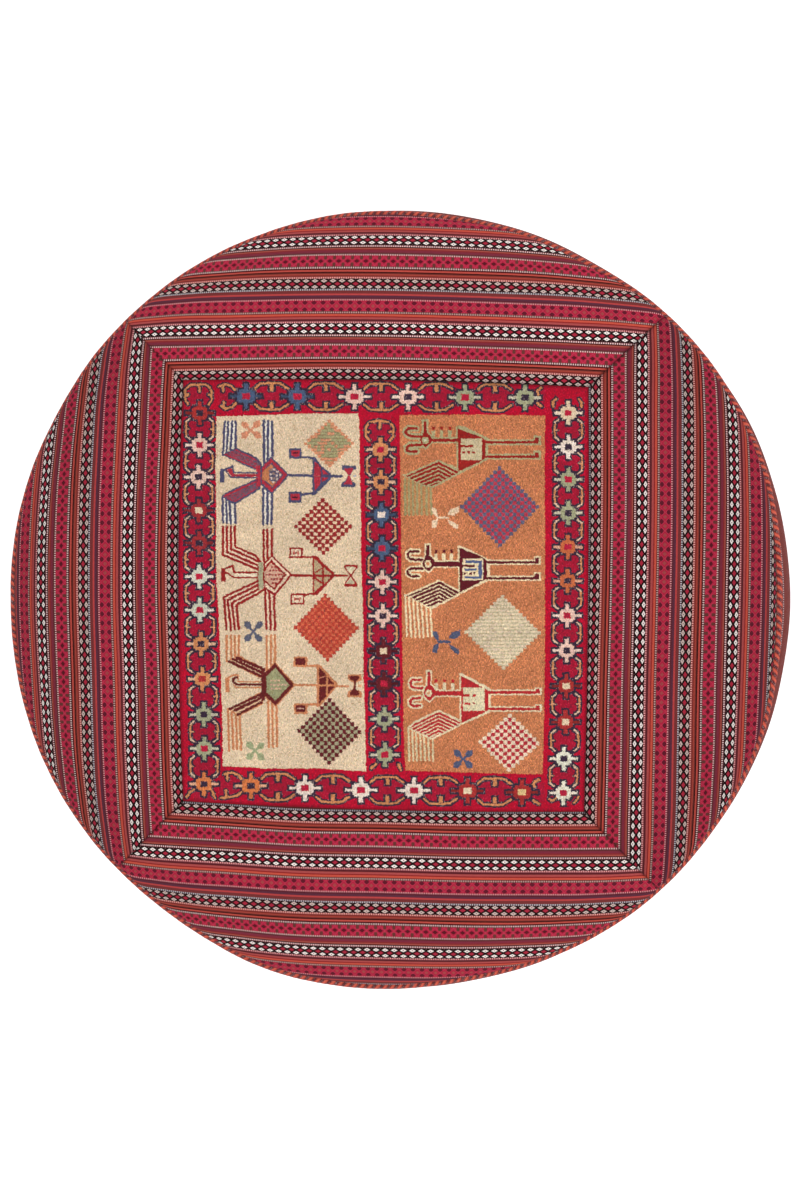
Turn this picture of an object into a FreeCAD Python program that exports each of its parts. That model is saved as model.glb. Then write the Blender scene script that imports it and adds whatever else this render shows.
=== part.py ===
import FreeCAD, Part
import math
import os
from FreeCAD import Vector as V

# Round patchwork pouf. Millimetres, +Z up, origin on the floor under the middle.
# +X is right and +Y is up (away) when the pouf is looked at from above.

# ---- overall -------------------------------------------------------------
R_RIM = 300.0          # over the piping
R_BELLY = 308.0        # side band, half way up
H_RIM = 320.0          # top edge of the rim seam
CROWN_BROAD = 16.0     # gentle rise of the whole top
CROWN_SHOULDER = 24.0  # rounded shoulder next to the rim
SHOULDER_POWER = 16

# ---- top patchwork -------------------------------------------------------
R_TOP = 293.5          # outer edge of the patchwork, at the piping
T_CLOTH = 2.0          # thick woven cloth
T_LINING = 0.8
T_BAG = 0.8
LAYER_GAP = 0.1        # cloth layers that lie on each other
PANEL_TL = (-157.4, 167.8)
PANEL_TR = (153.2, 160.3)
PANEL_BR = (149.9, -161.3)
PANEL_BL = (-157.2, -155.3)
MITRE_TL = (-192.3, 201.6)
MITRE_TR = (196.5, 202.1)
MITRE_BR = (192.4, -207.6)
MITRE_BL = (-199.5, -195.8)

# ---- piping --------------------------------------------------------------
R_WELT = 3.0           # outside of the welt
R_WELT_IN = 2.05       # inside of the bias strip
R_CORD = 1.95          # filler cord
WELT_TOP = (R_RIM - R_WELT, H_RIM - 1.0)
WELT_BOTTOM = (294.5, 4.2)

# ---- side band -----------------------------------------------------------
Z_BAND_LOW = 8.2
Z_BAND_HIGH = 315.0
R_BAND_END = 293.8     # outside, at the two seams
T_BAND = 1.8

# ---- insert --------------------------------------------------------------
Z_CORE_TOP = 261.7     # foam block below, fibre layer above
R_LINING = 285.0
R_BAG_TOP = 284.0
R_TOPPER = 289.3

# ---- underside and zip (runs along X at Y = 0, in a shallow channel) -----
R_BASE = 291.0
T_BASE = 1.8
T_HEM = 1.4
CH_OUT = 26.0          # half width of the channel at the floor
CH_IN = 10.0           # half width of its flat roof
CH_RISE = 4.2          # how far the roof stands above the floor
ZIP_GAP = 6.5          # half width between the two hems
ZIP_LEN = 428.0        # toothed length
TAPE_IN, TAPE_OUT = 0.9, 16.0
T_TAPE = 0.6
TOOTH_IN, TOOTH_OUT = 0.5, 3.0
SLIDER_X = 206.0       # slider at rest: the zip is closed
PIVOT_Z = 2.75         # pull tab's pin
R_PIN = 0.6
R_EYE = 0.68

os.makedirs("parts", exist_ok=True)


def z_top(r):
    """Outer face of the patchwork top."""
    q = r / R_TOP
    return H_RIM + CROWN_BROAD * (1 - q ** 2) + CROWN_SHOULDER * (1 - q ** SHOULDER_POWER)


def dome_edge(r_end, drop):
    """Profile of the top in the XZ plane from the axis to r_end, lowered by drop."""
    n = 26
    pts = []
    for i in range(n + 1):
        r = r_end * math.sin(0.5 * math.pi * i / n)
        pts.append(V(r, 0, z_top(r) - drop))
    last = pts[-1] - V(pts[-1].x - 0.5, 0, z_top(pts[-1].x - 0.5) - drop)
    curve = Part.BSplineCurve()
    curve.interpolate(Points=pts, InitialTangent=V(1, 0, 0), FinalTangent=last.normalize())
    return curve.toShape(), pts[0], pts[-1]


def spin(edges, a0=0.0, a1=360.0):
    face = Part.Face(Part.Wire(Part.__sortEdges__(edges)))
    solid = face.revolve(V(0, 0, 0), V(0, 0, 1), a1 - a0)
    if a0:
        solid.rotate(V(0, 0, 0), V(0, 0, 1), a0)
    if solid.ShapeType != "Solid":
        solid = solid.Solids[0]
    if solid.Volume < 0:
        solid.reverse()
    return solid


def dome_shell(r_end, drop, thick):
    up, a, b = dome_edge(r_end, drop)
    low, c, d = dome_edge(r_end, drop + thick)
    return spin([up, Part.LineSegment(b, d).toShape(), low, Part.LineSegment(c, a).toShape()])


def prism(points, z0, z1):
    pts = [V(x, y, z0) for x, y in points]
    wire = Part.makePolygon(pts + [pts[0]])
    return Part.Face(wire).extrude(V(0, 0, z1 - z0))


def bar_x(points, x0, x1):
    """Straight bar along X from a (y, z) outline."""
    pts = [V(x0, y, z) for y, z in points]
    wire = Part.makePolygon(pts + [pts[0]])
    return Part.Face(wire).extrude(V(x1 - x0, 0, 0))


def box(x0, x1, y0, y1, z0, z1):
    return Part.makeBox(x1 - x0, y1 - y0, z1 - z0, V(x0, y0, z0))


def one(shape):
    """The single solid of a boolean result, cleaned."""
    shape = shape.removeSplitter()
    return shape.Solids[0] if len(shape.Solids) == 1 else shape


def save(shape, name):
    shape.exportStep("parts/%s.step" % name)


def mirror_y(shape):
    return shape.mirror(V(0, 0, 0), V(0, 1, 0))


# ---- the five cloth pieces of the top -------------------------------------
shell = dome_shell(R_TOP, 0.0, T_CLOTH)


def beyond(corner, end, reach=3.0):
    """A point well outside the rim on the mitre from corner through end."""
    return (corner[0] + reach * (end[0] - corner[0]) * 2, corner[1] + reach * (end[1] - corner[1]) * 2)


O_TL, O_TR = beyond(PANEL_TL, MITRE_TL), beyond(PANEL_TR, MITRE_TR)
O_BR, O_BL = beyond(PANEL_BR, MITRE_BR), beyond(PANEL_BL, MITRE_BL)
Z0, Z1 = H_RIM - 40, H_RIM + 80
pieces = {
    "centre_panel": [PANEL_TL, PANEL_TR, PANEL_BR, PANEL_BL],
    "border_back": [PANEL_TL, O_TL, O_TR, PANEL_TR],
    "border_right": [PANEL_TR, O_TR, O_BR, PANEL_BR],
    "border_front": [PANEL_BR, O_BR, O_BL, PANEL_BL],
    "border_left": [PANEL_BL, O_BL, O_TL, PANEL_TL],
}
for name, outline in pieces.items():
    save(one(shell.common(prism(outline, Z0, Z1))), name)

# ---- layers under the top --------------------------------------------------
drop = T_CLOTH + LAYER_GAP
save(dome_shell(R_LINING, drop, T_LINING), "top_lining")
drop += T_LINING + LAYER_GAP
save(dome_shell(R_BAG_TOP, drop, T_BAG), "insert_bag_top")
drop += T_BAG + LAYER_GAP


# ---- barrel profile of the band and what lies inside it --------------------
Z_MID = 0.5 * (Z_BAND_LOW + Z_BAND_HIGH)


def r_band(z):
    q = (z - Z_MID) / (0.5 * (Z_BAND_HIGH - Z_BAND_LOW))
    return R_BAND_END + (R_BELLY - R_BAND_END) * (1 - q * q)


def barrel_edge(z0, z1, inset):
    zm = 0.5 * (z0 + z1)
    p = [V(r_band(z) - inset, 0, z) for z in (z0, zm, z1)]
    return Part.Arc(p[0], p[1], p[2]).toShape(), p[0], p[2]


def barrel_shell(z0, z1, inset, thick, a0, a1):
    out, a, b = barrel_edge(z0, z1, inset)
    inn, c, d = barrel_edge(z0, z1, inset + thick)
    return spin([out, Part.LineSegment(b, d).toShape(), inn, Part.LineSegment(c, a).toShape()], a0, a1)


for i in range(4):
    save(barrel_shell(Z_BAND_LOW, Z_BAND_HIGH, 0.0, T_BAND, 45.0 + 90 * i, 135.0 + 90 * i), "side_band_%d" % (i + 1))
BAG_INSET = T_BAND + 0.5
save(barrel_shell(Z_BAND_LOW + 1.3, 312.0, BAG_INSET, T_BAG, 0, 360), "insert_bag_side")


# ---- piping ----------------------------------------------------------------
def torus(centre, r):
    return Part.makeTorus(centre[0], r, V(0, 0, centre[1]), V(0, 0, 1))


WELT_SIDES = 24


def welt(centre, lip_end, side):
    """Bias strip wrapped round the cord, with its flat lip; side is +1 for a lip above the cord, -1 below.
    The section is a fine many-sided outline, with a slit into the cord's channel where the strip's free edge ends."""
    cx, cz = centre
    step = 2 * math.pi / WELT_SIDES
    slit = 0.15

    def at(r, k):
        return (cx + r * math.cos(k * step), cz + side * r * math.sin(k * step))

    outer = [at(R_WELT, k) for k in range(5, -15, -1)]     # from beside the slit, round the outside, to the inner side
    inner = [at(R_WELT_IN, k) for k in range(-17, 6)]      # back round the cord's channel
    lip_low, lip_high = cz + side * R_WELT * 0.62, cz + side * (R_WELT + 0.5)
    outline = [(cx + slit, cz + side * (R_WELT + 0.1))] + outer
    outline += [(lip_end, lip_low), (lip_end, lip_high), (cx - slit, lip_high), (cx - slit, cz + side * R_WELT_IN)]
    outline += inner + [(cx + slit, cz + side * R_WELT_IN)]
    pts = [V(x, 0, z) for x, z in outline]
    edges = [Part.LineSegment(pts[k], pts[(k + 1) % len(pts)]).toShape() for k in range(len(pts))]
    face = Part.Face(Part.Wire(edges))
    solid = face.revolve(V(0, 0, 0), V(0, 0, 1), 360)
    solid = solid if solid.ShapeType == "Solid" else solid.Solids[0]
    if solid.Volume < 0:
        solid.reverse()
    return solid


save(welt(WELT_TOP, 290.3, -1), "top_piping_cover")
save(torus(WELT_TOP, R_CORD), "top_piping_cord")
save(welt(WELT_BOTTOM, 291.3, 1), "bottom_piping_cover")
save(torus(WELT_BOTTOM, R_CORD), "bottom_piping_cord")

# ---- fibre topper and foam block -------------------------------------------
up, a, b = dome_edge(R_TOPPER, drop)
z_side = 313.5
r_low = r_band(Z_CORE_TOP + 0.3) - BAG_INSET - T_BAG - 0.5
c, d, e = V(R_TOPPER, 0, z_side), V(r_low, 0, Z_CORE_TOP + 0.3), V(0, 0, Z_CORE_TOP + 0.3)
topper = spin([
    up,
    Part.LineSegment(b, c).toShape(),
    Part.LineSegment(c, d).toShape(),
    Part.LineSegment(d, e).toShape(),
    Part.LineSegment(e, a).toShape(),
])
save(topper, "fibre_topper")

# channel above the zip: the roof of the bag base and the foam clears the slider
BAG_Z = T_BASE + 0.4                       # underside of the bag base away from the zip
CORE_Z = BAG_Z + T_BAG + 0.3
ROOF = 9.8                                 # clear height over the slider


def roof(rise, y):
    """Half outline of the channel roof as (y, z) points from the rim to the middle line."""
    return [(y, rise), (CH_OUT + 3, rise), (CH_IN + 3, rise + ROOF - BAG_Z), (0, rise + ROOF - BAG_Z)]


def sheet_outline(low, thick, y):
    half = roof(low, y)
    bottom = [(-p[0], p[1]) for p in half[:-1]] + [half[-1]] + list(reversed(half[:-1]))
    upper = [(p[0], p[1] + thick) for p in reversed(bottom)]
    return bottom + upper


bag_base = bar_x(sheet_outline(BAG_Z, T_BAG, 320), -320, 320).common(Part.makeCylinder(283.0, 40, V(0, 0, 0)))
save(one(bag_base), "insert_bag_base")

edge, a, b = barrel_edge(Z_BAND_LOW + 1.3, Z_CORE_TOP, BAG_INSET + T_BAG + 0.5)
low = V(282.5, 0, CORE_Z)
core = spin([
    edge,
    Part.LineSegment(b, V(0, 0, Z_CORE_TOP)).toShape(),
    Part.LineSegment(V(0, 0, Z_CORE_TOP), V(0, 0, CORE_Z)).toShape(),
    Part.LineSegment(V(0, 0, CORE_Z), low).toShape(),
    Part.LineSegment(low, a).toShape(),
])
half = roof(CORE_Z, CH_OUT + 3)
trench = [(-p[0], p[1]) for p in half[1:-1]] + [(p[0], p[1]) for p in reversed(half[1:-1])]
trench = [(-(CH_OUT + 3), CORE_Z - 5)] + trench + [(CH_OUT + 3, CORE_Z - 5)]
core = one(core.cut(bar_x(trench, -320, 320)))
save(core, "foam_core")

# ---- underside --------------------------------------------------------------
slope = CH_RISE / (CH_OUT - CH_IN)
hem_end = CH_IN + 10.0
hem_z = CH_RISE - slope * (hem_end - CH_IN)
outline = [
    (320, 0), (CH_OUT, 0), (CH_IN, CH_RISE), (ZIP_GAP, CH_RISE),
    (ZIP_GAP, CH_RISE + T_BASE + T_HEM), (CH_IN, CH_RISE + T_BASE + T_HEM),
    (hem_end, hem_z + T_BASE + T_HEM), (hem_end, hem_z + T_BASE), (CH_OUT, T_BASE), (320, T_BASE),
]
base = one(bar_x(outline, -320, 320).common(Part.makeCylinder(R_BASE, 40, V(0, 0, -5))))
save(base, "base_panel_back")
save(mirror_y(base), "base_panel_front")

# ---- zip ---------------------------------------------------------------------
TAPE_Z = CH_RISE + T_BASE + T_HEM + 0.1
XZ = 0.5 * ZIP_LEN
tape_out_z = TAPE_Z - slope * (TAPE_OUT - CH_IN)
tape = bar_x([
    (TAPE_IN, TAPE_Z), (CH_IN, TAPE_Z), (TAPE_OUT, tape_out_z),
    (TAPE_OUT, tape_out_z + T_TAPE), (CH_IN, TAPE_Z + T_TAPE), (TAPE_IN, TAPE_Z + T_TAPE),
], -XZ - 12, XZ + 12)
save(tape, "zip_tape_back")
save(mirror_y(tape), "zip_tape_front")

teeth_z1 = TAPE_Z - 0.1
teeth_z0 = teeth_z1 - 2.3
teeth = box(-XZ, XZ, TOOTH_IN, TOOTH_OUT, teeth_z0, teeth_z1)
teeth = teeth.makeFillet(0.7, [e for e in teeth.Edges
                               if abs(e.Vertexes[0].Point.x - e.Vertexes[1].Point.x) > 100
                               and e.Vertexes[0].Point.y > 2])
save(one(teeth), "zip_teeth_back")
save(mirror_y(one(teeth)), "zip_teeth_front")

stop_z = (teeth_z0 - 0.2, TAPE_Z - 0.1)
stops = [
    box(XZ + 0.4, XZ + 3.4, 0.5, 3.6, stop_z[0], stop_z[1]),
    box(XZ + 0.4, XZ + 3.4, -3.6, -0.5, stop_z[0], stop_z[1]),
    box(-XZ - 4.4, -XZ - 0.4, -3.6, 3.6, stop_z[0], stop_z[1]),
]
save(Part.makeCompound(stops), "zip_end_stops")

tabs = [
    box(XZ + 4.6, 286.0, -ZIP_GAP + 0.2, ZIP_GAP - 0.2, CH_RISE + 0.3, TAPE_Z - 0.3),
    box(-286.0, -XZ - 5.6, -ZIP_GAP + 0.2, ZIP_GAP - 0.2, CH_RISE + 0.3, TAPE_Z - 0.3),
]
save(Part.makeCompound(tabs), "zip_end_tabs")

thread_r = 0.3
thread = [
    Part.makeCylinder(thread_r, ZIP_LEN + 20, V(-XZ - 10, y, CH_RISE - thread_r - 0.05), V(1, 0, 0))
    for y in (-8.3, 8.3)
]
save(Part.makeCompound(thread), "zip_stitching")

# slider: two plates round the teeth, a post between the rows, and a lug for the pull
S = SLIDER_X
outer_z = (teeth_z0 - 1.35, teeth_z0 - 0.15)
inner_z = (TAPE_Z + T_TAPE + 0.15, TAPE_Z + T_TAPE + 1.15)


def plate(z, half_w):
    body = prism([
        (S - 5.5, -half_w * 0.72), (S - 3.0, -half_w * 0.86), (S + 2.0, -half_w), (S + 5.5, -half_w * 0.8),
        (S + 5.5, half_w * 0.8), (S + 2.0, half_w), (S - 3.0, half_w * 0.86), (S - 5.5, half_w * 0.72),
    ], z[0], z[1])
    return body


slider = plate(outer_z, 4.9).fuse(plate(inner_z, 4.9))
slider = slider.fuse(box(S + 2.2, S + 4.6, -0.35, 0.35, outer_z[1] - 0.2, inner_z[0] + 0.2))
for s in (-1, 1):
    y0, y1 = sorted((s * 3.25, s * 4.05))
    slider = slider.fuse(box(S - 3.0, S + 2.5, y0, y1, outer_z[1] - 0.2, TAPE_Z - 0.3))
lug = box(S - 1.5, S + 1.5, -1.6, 1.6, PIVOT_Z, outer_z[0] + 0.2)
lug = lug.fuse(Part.makeCylinder(1.5, 3.2, V(S, -1.6, PIVOT_Z), V(0, 1, 0)))
slider = slider.fuse(lug).cut(Part.makeCylinder(R_EYE, 5, V(S, -2.5, PIVOT_Z), V(0, 1, 0)))
save(one(slider), "zip_slider")

# pull tab: pin through the lug, two arms beside it, and a plate with a hole
pull = Part.makeCylinder(R_PIN, 6.0, V(S, -3.0, PIVOT_Z), V(0, 1, 0))
t = 0.5
for s in (-1, 1):
    y0, y1 = sorted((s * 1.9, s * 3.0))
    pull = pull.fuse(box(S - 6.0, S, y0, y1, PIVOT_Z - t, PIVOT_Z + t))
tab = prism([(S - 5.0, -3.0), (S - 9.0, -3.6), (S - 24.0, -3.6), (S - 26.5, -2.2),
             (S - 26.5, 2.2), (S - 24.0, 3.6), (S - 9.0, 3.6), (S - 5.0, 3.0)], PIVOT_Z - t, PIVOT_Z + t)
tab = tab.cut(Part.makeCylinder(1.6, 4, V(S - 22.3, 0, PIVOT_Z - 2)))
save(one(pull.fuse(tab)), "zip_pull")
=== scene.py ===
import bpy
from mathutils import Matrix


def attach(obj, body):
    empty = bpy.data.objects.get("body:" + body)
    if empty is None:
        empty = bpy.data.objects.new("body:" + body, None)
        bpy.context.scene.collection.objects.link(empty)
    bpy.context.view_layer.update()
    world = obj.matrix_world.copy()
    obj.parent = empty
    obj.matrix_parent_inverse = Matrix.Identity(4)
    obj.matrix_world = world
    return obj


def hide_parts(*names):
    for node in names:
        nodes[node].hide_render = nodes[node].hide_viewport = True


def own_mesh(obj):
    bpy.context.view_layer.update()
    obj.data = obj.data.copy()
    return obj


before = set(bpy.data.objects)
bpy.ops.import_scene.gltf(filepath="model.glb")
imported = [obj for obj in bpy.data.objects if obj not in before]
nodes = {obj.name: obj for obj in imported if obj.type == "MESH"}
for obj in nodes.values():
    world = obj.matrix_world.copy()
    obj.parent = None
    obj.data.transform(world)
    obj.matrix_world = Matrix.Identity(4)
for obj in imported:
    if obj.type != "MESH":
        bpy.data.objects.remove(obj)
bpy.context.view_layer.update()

import math

import bpy
import numpy as np
from mathutils import Matrix, Vector

# Round patchwork pouf: brocaded centre panel, four mitred borders of striped warp-faced cloth,
# bias piping at both rims, striped side band, canvas underside with a zip. Sizes below are in
# millimetres, turned into metres when a mesh is made. +X is right and +Y is up in the picture.

MM = 0.001
R_TOP = 293.5
H_RIM = 320.0
PANEL = {"TL": (-157.4, 167.8), "TR": (153.2, 160.3), "BR": (149.9, -161.3), "BL": (-157.2, -155.3)}
MITRE = {"TL": (-192.3, 201.6), "TR": (196.5, 202.1), "BR": (192.4, -207.6), "BL": (-199.5, -195.8)}
BULGE = {"left": 3.2, "right": 1.6, "back": 2.4, "front": 2.3}   # the panel's sides bow out a little
Z_LOW, Z_HIGH = 8.2, 315.0
R_BAND_END, R_BELLY, R_CLOTH = 293.8, 308.0, 306.4      # band at its seams; solid and cloth half way up
ROLL_E = [0, 1, 2, 3.5, 5.5, 8, 11, 15, 20, 26]         # how the top's edge rolls: distance in from the rim,
ROLL_R = [1.4, 2.9, 3.6, 4.0, 3.8, 3.0, 2.0, 1.0, 0.3, 0]     # push outwards
ROLL_Z = [1.2, 1.2, 1.3, 1.0, 0.9, 0.6, 0.3, 0.1, 0, 0]       # and upwards
RIM_EASE = 1.4          # the striped cloth is eased in over the shoulder
# the stripes wander a little where the cloth was stretched in sewing: how far inwards, where from the seam, over what width
DRIFT = {"back": (0.62, 71.0, 20.0), "right": (0.34, 71.0, 24.0), "left": (-0.85, 102.0, 18.0), "front": (-0.45, 116.0, 16.0)}
# the rim is sewn by hand and isn't a true circle: every 10 degrees from +X, how far the piping stands out of it,
# and how far the cloth above it bags out over the piping
RIM_OUT = [-0.8, 1.4, 4.8, 4.6, 4.8, 3.3, -0.2, 0.5, -1.9, -0.5, 0.3, 0.0, 0.7, 0.3, 0.6, -1.2, -0.3, -0.2,
           -1.2, -0.7, 0.4, 0.6, 0.5, -0.2, 0.2, 3.2, 2.2, 1.1, -0.9, 1.0, 2.6, 4.4, 4.1, 3.8, 4.1, 0.9]
BAG_OUT = [-0.4, 0.4, 1.1, 1.2, 1.4, 2.2, 0.4, 1.8, 1.1, 1.0, 1.5, 1.4, 2.1, 1.8, 1.4, 2.8, 2.5, 1.5,
           0.5, 0.6, 1.1, 1.5, 1.7, 1.3, 1.2, 1.0, 0.4, 0.7, 1.2, 1.5, 1.5, 2.3, 1.7, 1.5, 1.3, 0.1]
SIDE_OUT = [0.1, 0.2, 1.6, 0.8, 0, 0, -1.3, -0.3, -1.1] + [0] * 19 + [-0.8, -0.3] + [0] * 6      # and the filled side
rng = np.random.default_rng(7)

# ------------------------------------------------------------------ camera
TILT, DIST, TARGET_Z = math.radians(6.0), 2522.23, 340.0
FOCAL_PX, CX, CY = 3298.6, 388.5, 598.83
BACK = np.array([math.sin(TILT), 0.0, math.cos(TILT)])
RIGHT = np.array([math.cos(TILT), 0.0, -math.sin(TILT)])
UP = np.array([0.0, 1.0, 0.0])
EYE = np.array([0.0, 0.0, TARGET_Z]) + DIST * BACK


def picture(p):
    """Where points (millimetres, last axis xyz) fall in an 800 by 1200 picture."""
    d = p - EYE
    depth = -(d @ BACK)
    return CX + FOCAL_PX * (d @ RIGHT) / depth, CY - FOCAL_PX * (d @ UP) / depth


cam_data = bpy.data.cameras.new("photo_camera")
cam = bpy.data.objects.new("photo_camera", cam_data)
bpy.context.scene.collection.objects.link(cam)
cam_data.sensor_width = 36.0
cam_data.lens = FOCAL_PX * 36.0 / 1200.0
cam_data.shift_x = (400.0 - CX) / 1200.0
cam_data.shift_y = (CY - 600.0) / 1200.0
cam_data.clip_start, cam_data.clip_end = 0.05, 60.0
pose = Matrix.Identity(4)
for row in range(3):
    pose[row][0], pose[row][1], pose[row][2], pose[row][3] = RIGHT[row], UP[row], BACK[row], EYE[row] * MM
cam.matrix_world = pose
bpy.context.scene.camera = cam

# ------------------------------------------------------------------ colour and node helpers


def lin(c):
    """Picture colour 0-255 to scene-linear, with alpha."""
    out = []
    for x in c[:3]:
        x = x / 255.0
        out.append(x / 12.92 if x <= 0.04045 else ((x + 0.055) / 1.055) ** 2.4)
    return (*out, 1.0)


def lin_array(a):
    a = np.clip(np.asarray(a, float) / 255.0, 0, 1)
    return np.where(a <= 0.04045, a / 12.92, ((a + 0.055) / 1.055) ** 2.4)


class Sock:
    """A shader value that can be written as arithmetic."""

    def __init__(self, kit, socket):
        self.kit, self.socket = kit, socket

    def __add__(self, o): return self.kit.math("ADD", self, o)
    def __radd__(self, o): return self.kit.math("ADD", o, self)
    def __sub__(self, o): return self.kit.math("SUBTRACT", self, o)
    def __rsub__(self, o): return self.kit.math("SUBTRACT", o, self)
    def __mul__(self, o): return self.kit.math("MULTIPLY", self, o)
    def __rmul__(self, o): return self.kit.math("MULTIPLY", o, self)
    def __truediv__(self, o): return self.kit.math("DIVIDE", self, o)
    def __lt__(self, o): return self.kit.math("LESS_THAN", self, o)
    def __gt__(self, o): return self.kit.math("GREATER_THAN", self, o)
    def mod(self, o): return self.kit.math("FLOORED_MODULO", self, o)
    def floor(self): return self.kit.math("FLOOR", self, 0.0)
    def abs(self): return self.kit.math("ABSOLUTE", self, 0.0)
    def sin(self): return self.kit.math("SINE", self, 0.0)
    def max(self, o): return self.kit.math("MAXIMUM", self, o)
    def min(self, o): return self.kit.math("MINIMUM", self, o)
    def pow(self, o): return self.kit.math("POWER", self, o)


class Kit:
    """Builds one node material."""

    def __init__(self, name, rough=0.9, specular=0.2, sheen=0.0, metallic=0.0):
        self.mat = bpy.data.materials.new(name)
        self.mat.use_nodes = True
        self.tree = self.mat.node_tree
        self.bsdf = next(n for n in self.tree.nodes if n.type == "BSDF_PRINCIPLED")
        self.bsdf.inputs["Roughness"].default_value = rough
        self.bsdf.inputs["Specular IOR Level"].default_value = specular
        self.bsdf.inputs["Metallic"].default_value = metallic
        if sheen:
            self.bsdf.inputs["Sheen Weight"].default_value = sheen
            self.bsdf.inputs["Sheen Roughness"].default_value = 0.5

    def node(self, kind, **props):
        n = self.tree.nodes.new(kind)
        for k, v in props.items():
            setattr(n, k, v)
        return n

    def put(self, socket, value):
        if isinstance(value, Sock):
            self.tree.links.new(value.socket, socket)
        else:
            socket.default_value = value

    def math(self, op, a, b):
        n = self.node("ShaderNodeMath", operation=op)
        self.put(n.inputs[0], a)
        self.put(n.inputs[1], b)
        return Sock(self, n.outputs[0])

    def mix(self, fac, a, b, blend="MIX"):
        n = self.node("ShaderNodeMix", data_type="RGBA", blend_type=blend)
        self.put(n.inputs[0], fac)
        self.put(n.inputs[6], a)
        self.put(n.inputs[7], b)
        return Sock(self, n.outputs[2])

    def shade(self, colour, factor):
        """Colour times a grey factor."""
        n = self.node("ShaderNodeCombineColor")
        for i in range(3):
            self.put(n.inputs[i], factor)
        return self.mix(1.0, colour, Sock(self, n.outputs[0]), "MULTIPLY")

    def ramp(self, fac, stops, interp="CONSTANT"):
        """stops are (position, colour 0-255, alpha)."""
        n = self.node("ShaderNodeValToRGB")
        r = n.color_ramp
        r.interpolation = interp
        while len(r.elements) > 1:
            r.elements.remove(r.elements[-1])
        for i, stop in enumerate(stops):
            e = r.elements[0] if i == 0 else r.elements.new(stop[0])
            e.position = stop[0]
            c = lin(stop[1])
            e.color = (c[0], c[1], c[2], stop[2] if len(stop) > 2 else 1.0)
        self.put(n.inputs[0], fac)
        return Sock(self, n.outputs[0]), Sock(self, n.outputs[1])

    def uv(self, name):
        n = self.node("ShaderNodeUVMap", uv_map=name)
        s = self.node("ShaderNodeSeparateXYZ")
        self.tree.links.new(n.outputs[0], s.inputs[0])
        return Sock(self, s.outputs[0]), Sock(self, s.outputs[1])

    def place(self):
        """Object coordinates in millimetres."""
        n = self.node("ShaderNodeTexCoord")
        s = self.node("ShaderNodeSeparateXYZ")
        self.tree.links.new(n.outputs["Object"], s.inputs[0])
        return tuple(Sock(self, o) * 1000.0 for o in s.outputs)

    def vec(self, x, y, z=0.0):
        n = self.node("ShaderNodeCombineXYZ")
        for i, v in enumerate((x, y, z)):
            self.put(n.inputs[i], v)
        return Sock(self, n.outputs[0])

    def noise(self, vec, scale, detail=2.0, rough=0.5):
        n = self.node("ShaderNodeTexNoise")
        self.put(n.inputs["Vector"], vec)
        n.inputs["Scale"].default_value = scale
        n.inputs["Detail"].default_value = detail
        n.inputs["Roughness"].default_value = rough
        return Sock(self, n.outputs[0])

    def white(self, vec):
        n = self.node("ShaderNodeTexWhiteNoise", noise_dimensions="3D")
        self.put(n.inputs["Vector"], vec)
        return Sock(self, n.outputs["Value"])

    def attr(self, name):
        n = self.node("ShaderNodeAttribute", attribute_name=name)
        return Sock(self, n.outputs["Color"]), Sock(self, n.outputs["Fac"])

    def done(self, colour=None, height=None, bump=0.5, depth=0.0004, rough=None):
        if colour is not None:
            self.put(self.bsdf.inputs["Base Color"], colour)
        if rough is not None:
            self.put(self.bsdf.inputs["Roughness"], rough)
        if height is not None:
            n = self.node("ShaderNodeBump")
            n.inputs["Strength"].default_value = bump
            n.inputs["Distance"].default_value = depth
            self.put(n.inputs["Height"], height)
            self.tree.links.new(n.outputs[0], self.bsdf.inputs["Normal"])
        return self.mat


# ------------------------------------------------------------------ materials


def rug_material():
    """Brocaded panel: the drawing is held by the woven cells, two by two to a mesh face; every wrap is shaded and raised."""
    k = Kit("rug_brocade", rough=0.92, specular=0.12, sheen=0.05)
    u, v = k.uv("cloth")            # one unit is one mesh face
    right, low = u.mod(1.0) > 0.5, v.mod(1.0) > 0.5
    cell = [k.attr("Weft%s" % c)[0] for c in ("00", "10", "01", "11")]
    colour = k.mix(low, k.mix(right, cell[0], cell[1]), k.mix(right, cell[2], cell[3]))
    row = v.floor()
    lean = row.mod(2.0) - 0.5
    uu = u + lean * (v.mod(1.0) - 0.5) * 0.9 + row * 0.37
    across = (uu.mod(1.0) * math.pi).sin()
    along = (v.mod(1.0) * math.pi).sin()
    yarn = (across * 0.55 + 0.45) * (along.pow(0.6))
    each = k.white(k.vec(uu.floor(), row, 1.0))
    cloud = k.noise(k.vec(u, v, 0.0), 0.05, 3.0)
    # each and cloud are the yarn's own tone; yarn darkens the colour in the grooves between the wraps: painted shade
    shade = (each * 0.16 + 0.92) * (yarn * 0.16 + 0.91) * (cloud * 0.12 + 0.94)
    # painted shade along the panel's edge seam
    _, seam = k.attr("Seam")
    shade = shade * (1.0 - seam * 0.5)
    fuzz = k.noise(k.vec(u, v, 2.0), 2.6, 2.0)
    return k.done(k.shade(colour, shade), yarn + fuzz * 0.4, 0.55, 0.0005, each * 0.1 + 0.84)


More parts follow.
